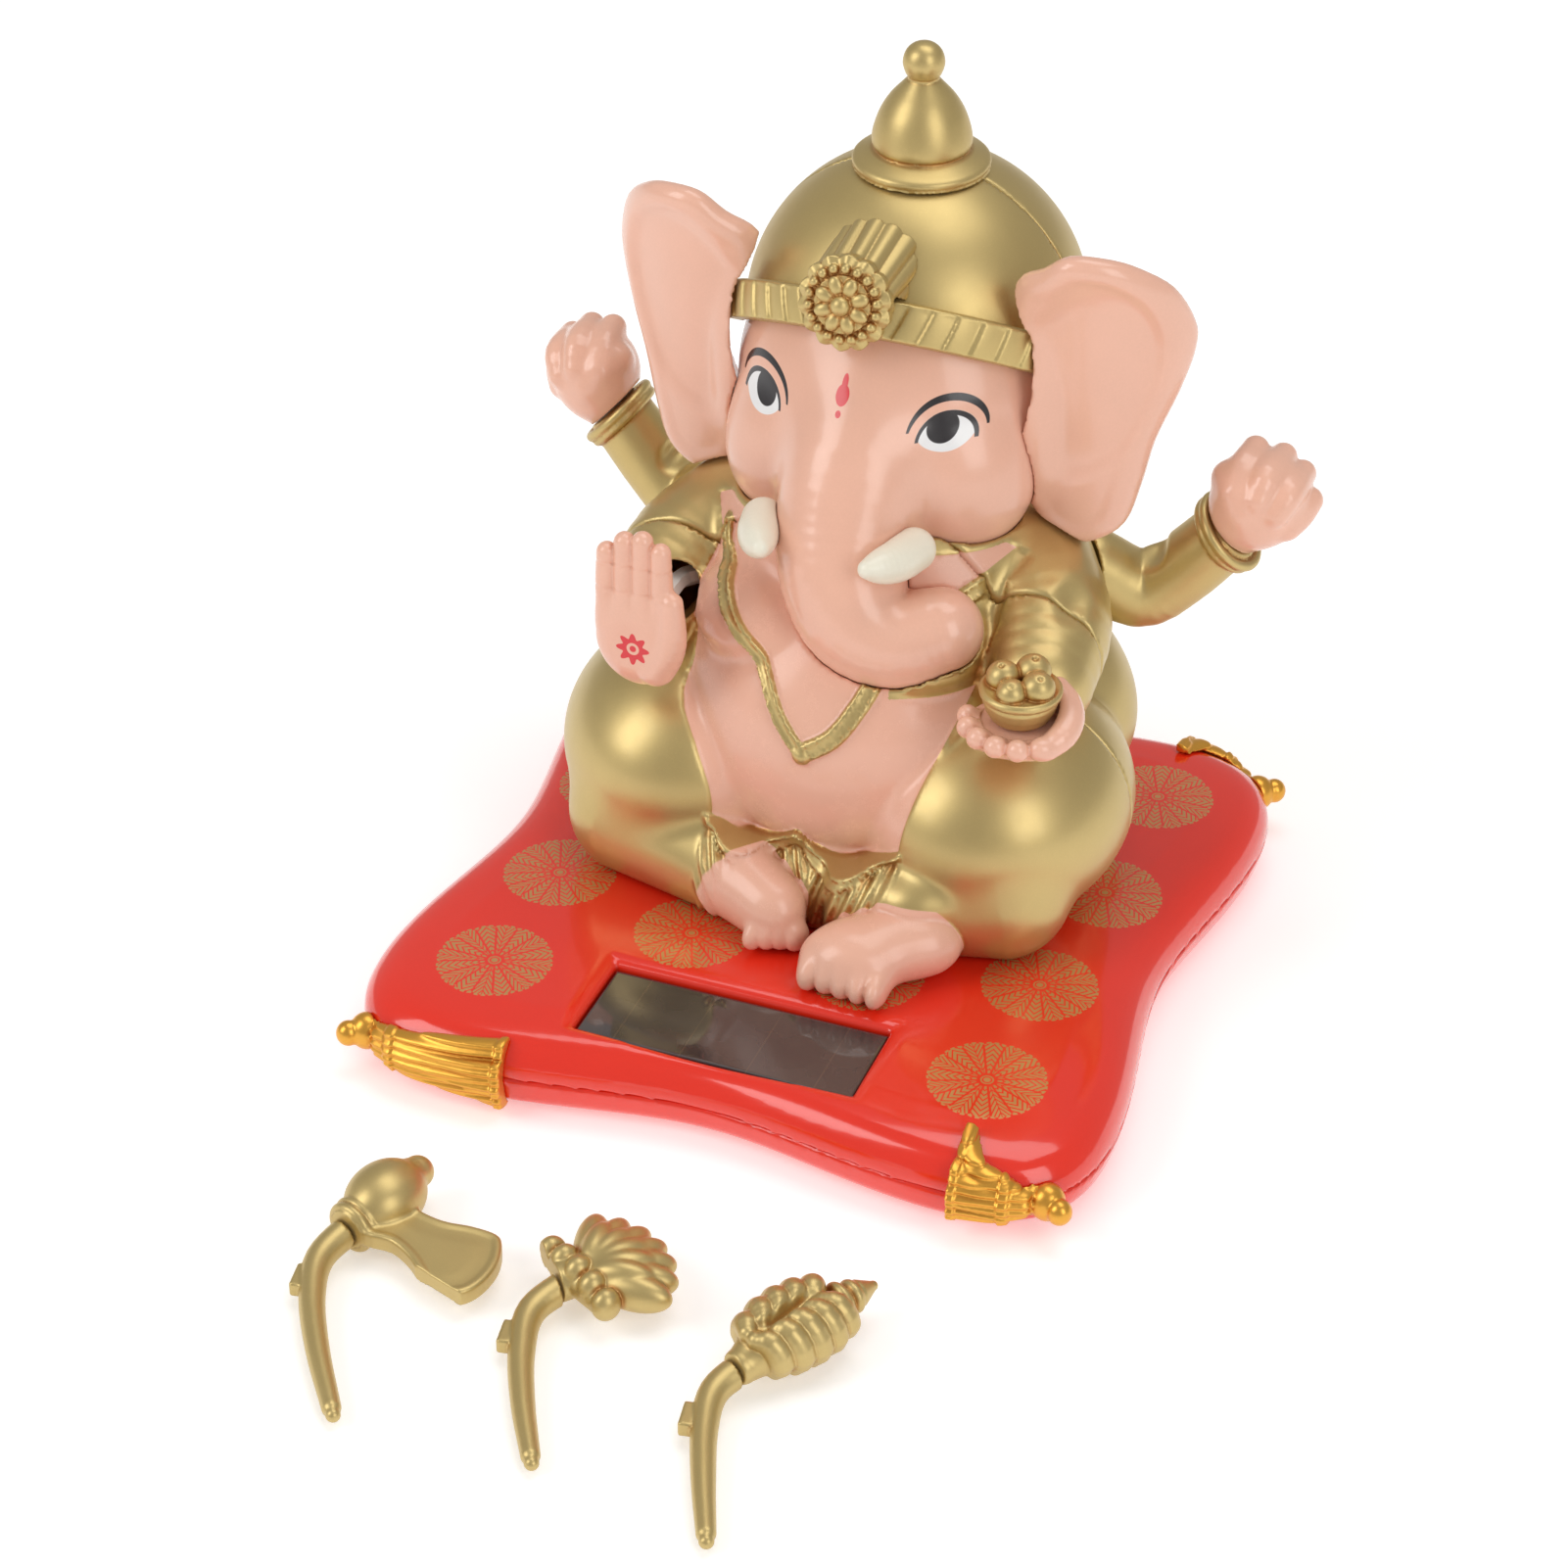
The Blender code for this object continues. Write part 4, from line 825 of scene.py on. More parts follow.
SHIRT_EDGE = smooth_outline((
    (-20.0, 66.0), (-20.1, 61.9), (-21.6, 56.5), (-22.0, 52.1), (-20.4, 46.7), (-20.8, 43.0),
    (-16.9, 38.1), (-14.2, 33.0), (-13.4, 29.0), (-13.6, 24.0), (-10.0, 20.0), (10.0, 20.0),
    (15.4, 24.0), (15.3, 29.0), (15.8, 33.0), (17.0, 38.1), (18.9, 43.4), (20.4, 47.8),
    (21.2, 50.9), (22.6, 58.1), (22.1, 62.1), (22.0, 66.0),
), 3)
STRAND_RIGHT = smooth_line((
    (-19.2, 63.6), (-18.3, 61.4), (-12.4, 56.4), (-8.0, 52.4), (-3.9, 46.6), (0.3, 42.0),
), 4)
STRAND_LEFT = smooth_line((
    (0.3, 42.0), (4.6, 44.9), (7.6, 49.6), (9.6, 54.0), (13.6, 58.4), (18.2, 61.4), (22.6, 63.8),
), 4)
STRANDS = ((STRAND_RIGHT, 1.15), (STRAND_LEFT, 1.55))  # each with half its width
BELT_TOP = smooth_line((
    (-14.6, 28.6), (-12.6, 27.3), (-10.4, 25.7), (-7.7, 25.1), (-4.6, 25.5), (-2.0, 27.0),
    (-0.5, 27.9), (1.4, 25.7), (5.2, 24.2), (9.4, 25.5), (15.4, 29.4),
), 4)
BELT_DROP = 2.4


def belt_line(x):
    return np.interp(x, BELT_TOP[:, 0], BELT_TOP[:, 1])


def chest_edge(p):
    """Over 0 on the bare chest and belly."""
    front = ramp(-p[:, 1], -16.0, -13.0)
    inside = np.minimum(-polygon(p[:, 0], p[:, 2], SHIRT_EDGE), p[:, 2] - belt_line(p[:, 0]) - 0.15)
    return inside * front - (1 - front) * 3


def ornaments(p, d):
    """Raises the necklace, the belt and the pleats on the body's front."""
    x, y, z = p.T
    front = ramp(-y, -18.0, -14.0)
    height = np.zeros(len(p))
    for line, width in STRANDS:
        off, at, side = polyline(x, z, line)
        band = ramp(-off, -width, -width + 0.35) * 0.62
        ridge = ramp(-np.abs(off - width * 0.62), -0.36, -0.08) * 0.34
        notch = 0.26 * (0.5 + 0.5 * np.cos(at * 2 * math.pi / 1.25))
        notch = notch * ramp(-np.abs(off - width * 0.55), -0.6, -0.2)
        lift = band + ridge - (notch * (side < 0) if line is STRAND_LEFT else 0)
        height = np.maximum(height, lift)
    height = height * ramp(z, 40.5, 41.2) * ramp(-x, -20.5, -19.0)
    drop = z - belt_line(x)
    reach = ramp(x, -14.6, -13.2) * ramp(-x, -16.2, -15.0) * (y < 0)
    wide = BELT_DROP * (0.45 + 0.55 * ramp(-np.abs(x - 0.5), -13.0, -4.0))
    belt = ramp(-drop, -0.1, 0.3) * ramp(drop + wide, -0.3, 0.1)
    belt = belt * 0.85 + ramp(-np.abs(drop + 0.4), -0.45, -0.1) * 0.45
    pleat_axis = x * 0.94 + (z - 22) * np.where(x < 2, 0.45, -0.3)
    sash = ramp(-drop - wide, 0.0, 0.4) * (z > 14) * (np.abs(x) < 19)
    pleats = sash * (0.3 + 0.42 * np.sin(pleat_axis * 2 * math.pi / 2.1))
    height = np.maximum(height * front, np.maximum(belt, pleats) * reach)
    return d - height


def body_outside(p):
    d = torso(p)
    d = d - 0.3 * ramp(-chest_edge(p), -0.15, 0.25)
    d = ornaments(p, d)
    d = join(d, ball(p, (0.4, -13.6, 41.6), (1.35, 1.2, 1.35)), 0.2)
    cuff = ball(p, (18.4, -14.6, 22.6), (6.0, 5.0, 3.8), (0, 0, 18))
    d = join(d, cuff, 2.2)
    dent = ball(p, (33.4, 7.6, 63.0), (3.0, 4.4, 3.0), (0, 30, 0))
    d = cut(d, dent, 2.2)
    return join(d, feet(p), 0.25)


def body_inside(p):
    return join(torso(p) + WALL + 0.2, ball(p, FLOOR_WELL, (26, 15, 13)), 0.5)


LEVER_LINE = curve(LEVER_ROUTE, LEVER_ROOM, 4)


def body_half(way):
    def field(p):
        d = cut(body_outside(p), body_inside(p), 0.1)
        if way < 0:
            q = mirrored(p)
            boss = box(q, (BODY_SCREWS[0], BODY_SCREWS[1] + 1.5, BODY_FLOOR + 5), (6, 9, 12))
            d = np.minimum(d, np.maximum(boss, torso(p) + 0.3))
            d = carve(d, rod(q, (*BODY_SCREWS, BODY_FLOOR + 3), SCREW_HOLE, 6))
        d = np.maximum(d, way * (p[:, 1] - BODY_SEAM) + SEAM_GAP)
        d = np.maximum(d, BODY_FLOOR - p[:, 2])
        d = cut(d, limb(p, *LEVER_LINE), 0.3)
        return cut(d, skull(p) - NEST_ROOM, 0.3)

    return field


def skin_paint(p):
    """Over 0 on bare skin: the chest and belly, and the feet."""
    foot = torso(p) - 0.3 - feet(p)
    foot = np.minimum(foot, 1.2 - feet(p))
    chest = chest_edge(p)
    x, y, z = p.T
    for line, width in STRANDS:
        off, _, side = polyline(x, z, line)
        chest = np.minimum(chest, off - width + 0.1)
        chest = np.where((side < 0) & (x > 11) & (z > 50), np.minimum(chest, -off), chest)
    bead = np.hypot(x - 0.4, z - 41.6) - 1.3
    return np.maximum(np.minimum(chest, bead), foot)


body_marks = {"paint": skin_paint}
solid("body_front", body_half(1), (-44, -32, 12), (44, 9, 70), 0.5, "figure", ["body_front_shell"],
      "body_paint", body_paint, body_marks, body_outside)
solid("body_rear", body_half(-1), (-44, 7, 12), (44, 49, 70), 0.6, "figure", ["body_rear_shell"],
      "body_paint", body_paint, body_marks, body_outside)


def head_half(way):
    def field(p):
        d = cut(skull(p), ball(p, (0, 29, 84), (20, 19, 18.6)), 0.1)
        return np.maximum(d, way * (p[:, 1] - HEAD_SEAM) + SEAM_GAP)

    return field


solid("head_front", head_half(1), (-26, -12, 48), (26, 31, 111), 0.55, "figure", ["head_front_shell"],
      "skin", skin_face, open_field=skull, reach=2.5)
solid("head_rear", head_half(-1), (-26, 29, 60), (26, 56, 111), 0.6, "figure", ["head_rear_shell"], "skin",
      skin_plain, open_field=skull, reach=2.5)

# ------------------------------------------------------------------ crown


def rim(p):
    """Height over the crown's sloping rim."""
    up, back = p[:, 2] - CROWN_RIM[1], p[:, 1] - CROWN_RIM[0]
    return up * math.cos(CROWN_SLOPE) + back * math.sin(CROWN_SLOPE)


def dome(p):
    return np.sqrt(((p - CROWN_CENTRE) ** 2).sum(1)) - CROWN_RADIUS


ROSETTE_AXIS = np.array([0.0, -math.sin(ROSETTE_LEAN), math.cos(ROSETTE_LEAN)])
ROSETTE_UP = np.array([0.0, math.cos(ROSETTE_LEAN), math.sin(ROSETTE_LEAN)])
ROSETTE_BORE = 3.3
FINIAL_PIN = (0, CROWN_CENTRE[1], 116)
PIN_RADIUS = 4.15


def crown_half(way):
    def field(p):
        d = carve(dome(p), skull(p) - NEST_ROOM, rod(p, FINIAL_PIN, PIN_RADIUS + 0.15, 15))
        d = np.maximum(d, GAP - rim(p))
        d = np.maximum(d, way * (p[:, 1] - CROWN_SEAM) + SEAM_GAP)
        return carve(d, rod(p, ROSETTE_AT, ROSETTE_BORE, 9, ROSETTE_AXIS)) if way > 0 else d

    return field


solid("crown_front", crown_half(1), (-26, 7, 80), (26, 33, 115), 0.5, "figure", ["crown_front_shell"],
      "gold", gold_paint, open_field=dome)
solid("crown_rear", crown_half(-1), (-26, 31, 66), (26, 59, 115), 0.55, "figure", ["crown_rear_shell"],
      "gold", gold_paint, open_field=dome)


def band(p):
    """Ribbed front band with a plain lip along its top."""
    height = rim(p)
    q = p - CROWN_CENTRE
    around = np.arctan2(np.abs(p[:, 0] - ROSETTE_AT[0]), -q[:, 1]) * CROWN_RADIUS
    saw = np.mod(around - height * 0.5 + 0.4, 3.3) / 3.3
    groove = 0.5 * (saw**1.6) * (1 - ramp(saw, 0.82, 1.0))
    ribbed = ramp(-height, -BAND_HEIGHT + 0.35, -BAND_HEIGHT + 0.9)
    outer = dome(p) - GAP - BAND_THICK + groove * ribbed
    d = np.maximum(outer, -(dome(p) - GAP))
    ledge = height - BAND_HEIGHT + 0.35 * np.maximum(dome(p) - GAP - BAND_THICK * 0.55, 0)
    d = -join(-d, -ledge, 0.3)
    d = np.maximum(d, GAP - height)
    d = np.maximum(d, p[:, 1] - BAND_END)
    return carve(d, rod(p, ROSETTE_AT, ROSETTE_BORE, 15, ROSETTE_AXIS))


solid("crown_band_ribbed", band, (-27, 4, 80), (27, 23, 106), 0.32, "figure", ["crown_band"], "gold",
      gold_paint, reach=1.0)

FINIAL = (
    (0.0, 130.3), (1.4, 130.0), (2.5, 129.0), (2.95, 127.4), (2.55, 125.9), (2.15, 125.2), (2.5, 124.7),
    (3.4, 123.7), (4.7, 122.2), (5.9, 120.2), (6.7, 118.0), (7.05, 116.2), (6.9, 115.2), (6.6, 114.9),
    (8.0, 114.2), (9.4, 113.5), (9.75, 112.9), (9.6, 112.3), (10.3, 111.6), (11.8, 110.9), (12.9, 110.2),
)
FINIAL_LINE = np.vstack([smooth_line(FINIAL, 3), [(12.9, 109.0), (5.0, 108.4), (5.0, 110.9), (0.0, 110.9)]])


def finial(p):
    q = p - (0, CROWN_CENTRE[1], 0)
    r = np.hypot(q[:, 0], q[:, 1])
    closed = np.vstack([FINIAL_LINE, [(-2, 110.9), (-2, 130.2)]])
    d = polygon(r, p[:, 2], closed)
    room = carve(dome(p) - GAP, rod(p, FINIAL_PIN, PIN_RADIUS, 15))
    return carve(d, room)


solid("crown_top", finial, (-12, 20, 107), (12, 45, 131), 0.3, "figure", ["crown_finial"], "gold",
      gold_paint, reach=1.2)


def rosette(p):
    """Fluted boss with a bead ring, a scalloped petal ring and a domed heart."""
    q = p - ROSETTE_AT
    w = q @ ROSETTE_AXIS
    a = q[:, 0]
    b = q @ ROSETTE_UP
    r = np.hypot(a, b)
    angle = np.arctan2(b, a)
    lifted = b - 0.42 * np.maximum(1.0 - w, 0)
    lean_r = np.hypot(a - 0.12 * np.maximum(1.0 - w, 0), lifted)
    lean_angle = np.arctan2(lifted, a)
    flute = 0.55 * np.abs(np.sin(lean_angle * 7.5))
    drum = np.maximum(lean_r - 5.75 - flute - 0.06 * (1 - w), np.maximum(-7.5 - w, w - 1.2)) * 0.85
    lobes = 0.7 * np.abs(np.sin(angle * 7)) ** 0.7
    plate_top = 2.1 - 0.5 * ramp(r, 5.4, 6.9) - 0.25 * np.cos(angle * 14) * ramp(r, 4.8, 5.8)
    plate = np.maximum(r - 6.1 - lobes, np.maximum(0.5 - w, w - plate_top))
    d = join(drum, plate, 0.4)
    sector = 2 * math.pi / 18
    turn = np.mod(angle, sector) - sector / 2
    out, across = r * np.cos(turn), r * np.sin(turn)
    bead = np.sqrt((out - 4.95) ** 2 + across**2 + (w - 2.3) ** 2) - 0.72
    d = join(d, bead, 0.12)
    inner = np.maximum(r - 4.1, w - 2.7)
    inner = np.maximum(inner, 1.0 - w)
    d = np.minimum(d, inner)
    sector = 2 * math.pi / 8
    turn = np.mod(angle, sector) - sector / 2
    out, across = r * np.cos(turn), r * np.sin(turn)
    petal = np.sqrt(((out - 2.7) / 1.45) ** 2 + (across / 1.05) ** 2 + ((w - 2.8) / 0.8) ** 2)
    d = join(d, (petal - 1) * 0.8, 0.12)
    heart = np.sqrt(r * r + (w - 3.1) ** 2) - 1.45
    d = join(d, heart, 0.15)
    stub = np.maximum(r - 3.0, np.maximum(-5.4 - w, w - 1))
    room = np.where(rim(p) < BAND_HEIGHT + GAP, dome(p) - BAND_THICK - 2 * GAP, dome(p) - GAP)
    body = np.minimum(carve(d, np.maximum(room, -(r - 3.05))), stub)
    return carve(body, skull(p) - NEST_ROOM)


solid("crown_flower", rosette, (-8, -2, 94), (8, 16, 111), 0.22, "figure", ["crown_rosette"], "gold",
      gold_paint, reach=0.8)

# ------------------------------------------------------------------ ears, tusks, arms

EAR_OUTLINE = (
    (23.2, 107.6), (27, 110.5), (32, 110.5), (36, 108.8), (40, 105), (42.4, 99), (42.6, 94.5), (41, 88),
    (38.4, 80.5), (36.8, 73), (35, 67), (31.5, 64.2), (27.8, 63.6), (23.5, 65.6), (20.5, 70), (15.0, 77),
    (16.5, 94), (19.0, 104.0),
)
EAR_LINE = smooth_outline(EAR_OUTLINE, 4)
EAR_THICK = 3.4
EAR_ROUND = 1.5
BODY_CLEAR = GAP + 0.5


def ear(side):
    def field(p):
        x, z = p[:, 0] * side, p[:, 2]
        front = 17 + 0.036 * (np.abs(x) - 27) ** 2 + 0.12 * (87 - z)
        flat = polygon(x, z, EAR_LINE)
        depth = p[:, 1] - front - EAR_THICK / 2
        away = ((x - 29.5) / 11.0) ** 2 + ((z - 91.0 - (x - 29.5) * 0.35) / 17.5) ** 2
        dish = 2.1 * ramp(1 - away, 0.0, 0.75)
        rise = 0.35 * ramp(-np.abs(flat + 2.2), -2.0, 0.0)
        half = EAR_THICK / 2 - dish * ramp(-depth, -0.8, 0.8) + rise
        across, through = flat + EAR_ROUND, np.abs(depth) - half + EAR_ROUND
        outside = np.hypot(np.maximum(across, 0), np.maximum(through, 0))
        d = (outside + np.minimum(np.maximum(across, through), 0) - EAR_ROUND) * 0.8
        root = ball(np.column_stack([x, p[:, 1], z]), (22.5, 21.0, 85), (4.0, 5.0, 15))
        d = join(d, np.maximum(root, flat + 0.5), 2.5)
        return carve(d, skull(p) - NEST_ROOM, dome(p) - BAND_THICK - 2 * GAP, torso(p) - BODY_CLEAR)

    return field


TUSK = curve(
    ((11.2, 1.0, 69.6), (10.3, -3.0, 69.9), (9.1, -6.2, 70.5), (7.9, -8.6, 71.1)), (3.1, 3.0, 2.45, 1.4)
)


def tusk(side):
    return lambda p: carve(limb(on_side(p, side), *TUSK), skull(p) - NEST_ROOM)


ARM = curve(((28.5, 29, 55.5), (35, 32, 51), (40.5, 33.2, 54.4), (46.4, 33.8, 61)), (5.4, 5.7, 5.3, 5.0))
REACH = np.array([math.sin(WRIST_LEAN), 0, math.cos(WRIST_LEAN)])


def upper_sleeve(side):
    def field(p):
        q = on_side(p, side)
        d = limb(q, *ARM)
        up = (q - WRIST_AT) @ REACH
        off = np.sqrt(np.maximum(((q - WRIST_AT) ** 2).sum(1) - up * up, 0))
        for at, width, tube in ((-1.0, 5.75, 0.75), (-2.15, 5.55, 0.7)):
            d = join(d, np.hypot(off - width + 0.1, up - at) - tube, 0.18)
        fold = ball(q, (36.8, 30.5, 58.6), (2.2, 6, 2.0), (0, 30, 0))
        d = cut(d, fold, 1.2)
        return carve(np.maximum(d, up), torso(p) - BODY_CLEAR, skull(p) - NEST_ROOM)

    return field


VIEW_RIGHT = np.array([0.933, 0.361, 0.0])
VIEW_UP = np.array([-0.2046, 0.5287, 0.8238])
VIEW_BACK = np.array([0.2973, -0.7682, 0.5669])
FIST = np.array([52.6, 34.4, 68.9])
FINGERS = (
    ((-1.0, 6.6), (-3.2, 3.6), (-4.2, 0.3)),
    ((2.9, 5.6), (0.1, 2.4), (-1.3, -1.0)),
    ((5.6, 3.2), (3.3, 0.1), (1.4, -2.8)),
    ((6.6, -0.6), (5.2, -2.6), (3.6, -4.4)),
)
KNUCKLE_REACH = 5.7
FIST_BORE = 1.5
BORE_TOP = 72.0
BORE_LEAN = math.radians(10)


def fist(side):
    """A closed hand: the heel and back as one mass, with four curled fingers and a thumb laid on it."""
    rows = []
    for finger in FINGERS:
        line = []
        for across, up in finger:
            depth = math.sqrt(max(KNUCKLE_REACH**2 - across * across - up * up, 0.0)) * 0.9
            line.append(FIST + (across - 0.8) * VIEW_RIGHT + up * VIEW_UP + depth * VIEW_BACK)
        rows.append(curve(line, (2.0, 2.1, 1.85), 4))

    def field(p):
        q = on_side(p, side)
        d = ball(q, (51.6, 34.6, 68.3), (7.0, 6.2, 7.2))
        d = join(d, ball(q, (50.2, 32.0, 67.6), (5.2, 4.6, 6.0)), 2.0)
        d = join(d, limb(q, ((48.4, 34.2, 63.0), (50.5, 34.3, 65.8)), (4.2, 4.8)), 1.5)
        fingers = None
        for line, widths in rows:
            one = limb(q, line, widths)
            fingers = one if fingers is None else join(fingers, one, 0.6)
        d = join(d, fingers, 1.0)
        thumb = limb(q, ((46.8, 32.8, 71.8), (48.6, 30.2, 70.8), (50.2, 28.9, 68.2)), (2.1, 2.0, 1.6))
        d = join(d, thumb, 1.4)
        up = (q - WRIST_AT) @ REACH
        d = np.maximum(d, GAP - up)
        bore = rod(q, (52.4, 33.4, 69), FIST_BORE, 15, (-math.sin(BORE_LEAN), 0, math.cos(BORE_LEAN)))
        return carve(d, np.maximum(bore, q[:, 2] - BORE_TOP))

    return field


for side, name in ((1, "left"), (-1, "right")):
    solid(f"ear_{name}", ear(side), *room_of(f"{name}_ear"), 0.42, "figure", [f"{name}_ear"], "skin",
          skin_plain, reach=2.5)
    solid(f"tusk_{name}", tusk(side), *room_of(f"{name}_tusk"), 0.25, "figure", [f"{name}_tusk"], "ivory",
          ivory, reach=1.0)
    solid(f"arm_{name}", upper_sleeve(side), *room_of(f"{name}_upper_sleeve"), 0.35, "figure",
          [f"{name}_upper_sleeve"], "gold", gold_paint, reach=1.4)
    solid(f"fist_{name}", fist(side), *room_of(f"{name}_upper_fist"), 0.3, "figure",
          [f"{name}_upper_fist"], "skin", skin_plain, reach=1.0)

# ------------------------------------------------------------------ palm, lowered hand and sweets


PALM_FINGERS = ((9.6, 1.62), (11.7, 1.68), (12.3, 1.68), (11.0, 1.6))  # reach and half-width
FINGER_PITCH = 2.75


def open_palm(p):
    x, y, z = PALM
    d = ball(p, (x, y, z - 5.0), (6.6, 3.2, 7.3))
    d = join(d, ball(p, (x - 0.4, y, z - 1.0), (5.9, 2.5, 4.8)), 1.5)
    fingers = None
    for i, (reach, width) in enumerate(PALM_FINGERS):
        at = x - 4.6 + FINGER_PITCH * i
        tip = (at - 0.05 * (i - 1.5), y - 0.5, z + reach - 1.0)
        line = ((at, y, z - 3), (at, y - 0.5, z + 3.0), tip)
        one = limb(p, *curve(line, (width * 1.05, width * 1.05, width * 0.92), 3))
        fingers = one if fingers is None else join(fingers, one, 0.3)
    for knuckle in (3.4, 7.4):
        fingers = fingers + 0.1 * ramp(-np.abs(p[:, 2] - z - knuckle), -0.4, 0.0)
    d = join(d, fingers, 0.9)
    thumb = (x + 2.8, y - 0.6, z - 8.8), (x + 5.2, y - 1.1, z - 4.0), (x + 5.4, y - 1.2, z + 2.6)
    d = join(d, limb(p, *curve(thumb, (2.7, 2.2, 1.65))), 0.7)
    hollow = ball(p, (x - 0.4, y - 4.6, z - 4.6), (4.4, 1.9, 4.8))
    return cut(d, hollow, 1.2)


solid("raised_palm", open_palm, *room_of("blessing_hand"), 0.25, "swing", ["blessing_hand"], "skin",
      skin_palm, reach=1.0)


def lowered_hand(p):
    """Cupped under the bowl: scalloped finger ends in front and the heel of the hand round its left."""
    x, y = BOWL
    d = ball(p, (x, y, HAND_LEVEL), (7.6, 6.8, 2.6))
    d = join(d, limb(p, ((x + 1, y + 4.6, HAND_LEVEL + 0.2), (x + 1, y + 10.6, HAND_LEVEL + 0.4)), (4.0, 4.4)), 1.5)
    for i in range(6):
        angle = math.radians(186 + 25 * i)
        at = (x + 7.2 * math.cos(angle), y - 0.3 + 6.8 * math.sin(angle), HAND_LEVEL + 1.2)
        root = (x + 4.0 * math.cos(angle), y - 0.3 + 3.8 * math.sin(angle), HAND_LEVEL - 0.6)
        d = join(d, limb(p, (root, at), (1.3, 1.6 - 0.08 * (i == 0))), 0.5)
    heel = []
    for i in range(5):
        angle = math.radians(322 + 24 * i)
        heel.append((x + 7.1 * math.cos(angle), y - 0.3 + 6.6 * math.sin(angle), HAND_LEVEL + 1.0 + 0.9 * i))
    d = join(d, limb(p, *curve(heel, (1.7, 2.0, 2.0, 1.8, 1.5), 3)), 1.0)
    return carve(d, torso(p) - BODY_CLEAR, rod(p, (x, y, 56.0), 5.4, 4))


solid("lowered_hand", lowered_hand, *room_of("left_hand"), 0.25, "figure", ["left_hand"], "skin",
      skin_plain, reach=1.0)

BOWL_LINE = (
    (0.0, 52.4), (3.4, 52.4), (4.2, 52.9), (4.9, 54.2), (5.3, 55.6), (5.25, 56.2), (5.75, 56.6),
    (5.8, 57.2), (5.4, 57.6), (4.8, 57.5), (0.0, 57.5),
)
SWEETS = ((0.9, 2.5, 58.7, 2.5), (-2.6, 0.1, 58.4, 2.4), (2.7, -0.9, 58.4, 2.4), (-0.4, -2.9, 58.0, 2.1))


def bowl_of_sweets(p):
    x, y = BOWL
    r = np.hypot(p[:, 0] - x, p[:, 1] - y)
    d = polygon(r, p[:, 2], np.vstack([BOWL_LINE, [(-2, 57.5), (-2, 52.4)]]))
    for px, py, pz, size in SWEETS:
        sweet = ball(p, (x + px, y + py, pz), (size, size, size * 0.95))
        dimple = ball(p, (x + px * 1.15 + 0.2, y + py * 1.15 - 0.7, pz + size), (0.5, 0.5, 0.6))
        d = join(d, cut(sweet, dimple, 0.25), 0.12)
    return carve(d, torso(p) - BODY_CLEAR)


solid("bowl_of_sweets", bowl_of_sweets, *room_of("sweet_bowl"), 0.2, "figure", ["sweet_bowl"], "gold",
      gold_paint, reach=0.8)

# ------------------------------------------------------------------ loose attributes

STEM_RADII = (1.3, 1.6, 1.8, 2.0, 2.2)
TIP_REACH = 1.3
STEMS = {  # the stem's line, its lug, the joint with the head and the heading of that joint in degrees
    "axe": (
        ((-23.2, -118.7, 1.5), (-29.5, -110, 1.8), (-34.6, -101.5, 2.1), (-36.9, -94.4, 2.6),
         (-35.2, -87.4, 3.4)),
        (-37.6, -99, 2.2), (-35.7, -89.6, 3.4), 72,
    ),
    "lotus": (
        ((4, -117.3, 1.5), (-0.6, -109.4, 1.8), (-4.6, -101, 2.1), (-6.4, -93.6, 2.6), (-3.4, -87, 3.4)),
        (-7.6, -99, 2.2), (-5.2, -88.6, 3.4), 45,
    ),
    "conch": (
        ((29.7, -121.8, 1.5), (26, -113.6, 1.8), (22.8, -105.4, 2.1), (21.6, -99, 2.6), (24, -93.4, 3.4)),
        (20.2, -104.6, 2.2), (23, -95.8, 3.4), 62,
    ),
}


def past_joint(p, name):
    """Distance beyond the plane where the stem meets its head."""
    _, _, joint, heading = STEMS[name]
    angle = math.radians(heading)
    return (p[:, 0] - joint[0]) * math.cos(angle) + (p[:, 1] - joint[1]) * math.sin(angle)


def stem(name):
    line, lug, _, _ = STEMS[name]
    made = curve(line, STEM_RADII, 6)

    def field(p):
        d = limb(p, *made)
        d = join(d, box(p, lug, (1.8, 4.4, 2.2), (0, 0, 10), 0.3), 0.3)
        start = np.asarray(line[0])
        outward = start - line[1]
        tip = start + outward / np.linalg.norm(outward) * TIP_REACH
        d = join(d, limb(p, (start, tip), (1.05, 1.0)), 0.15)
        return np.maximum(np.maximum(d, past_joint(p, name) + GAP / 2), 0.3 - p[:, 2])

    return field


BLADE = smooth_outline((
    (-31.5, -81.4), (-27.6, -83.2), (-23.6, -83.9), (-19.6, -83.4), (-16.0, -83.6), (-14.5, -85.2),
    (-13.5, -88.6), (-13.7, -92.4), (-15.0, -95.4), (-17.6, -96.9), (-20.6, -96.5), (-22.6, -94.2),
    (-25.2, -92.0), (-28.4, -90.4), (-33.0, -89.8),
), 4)


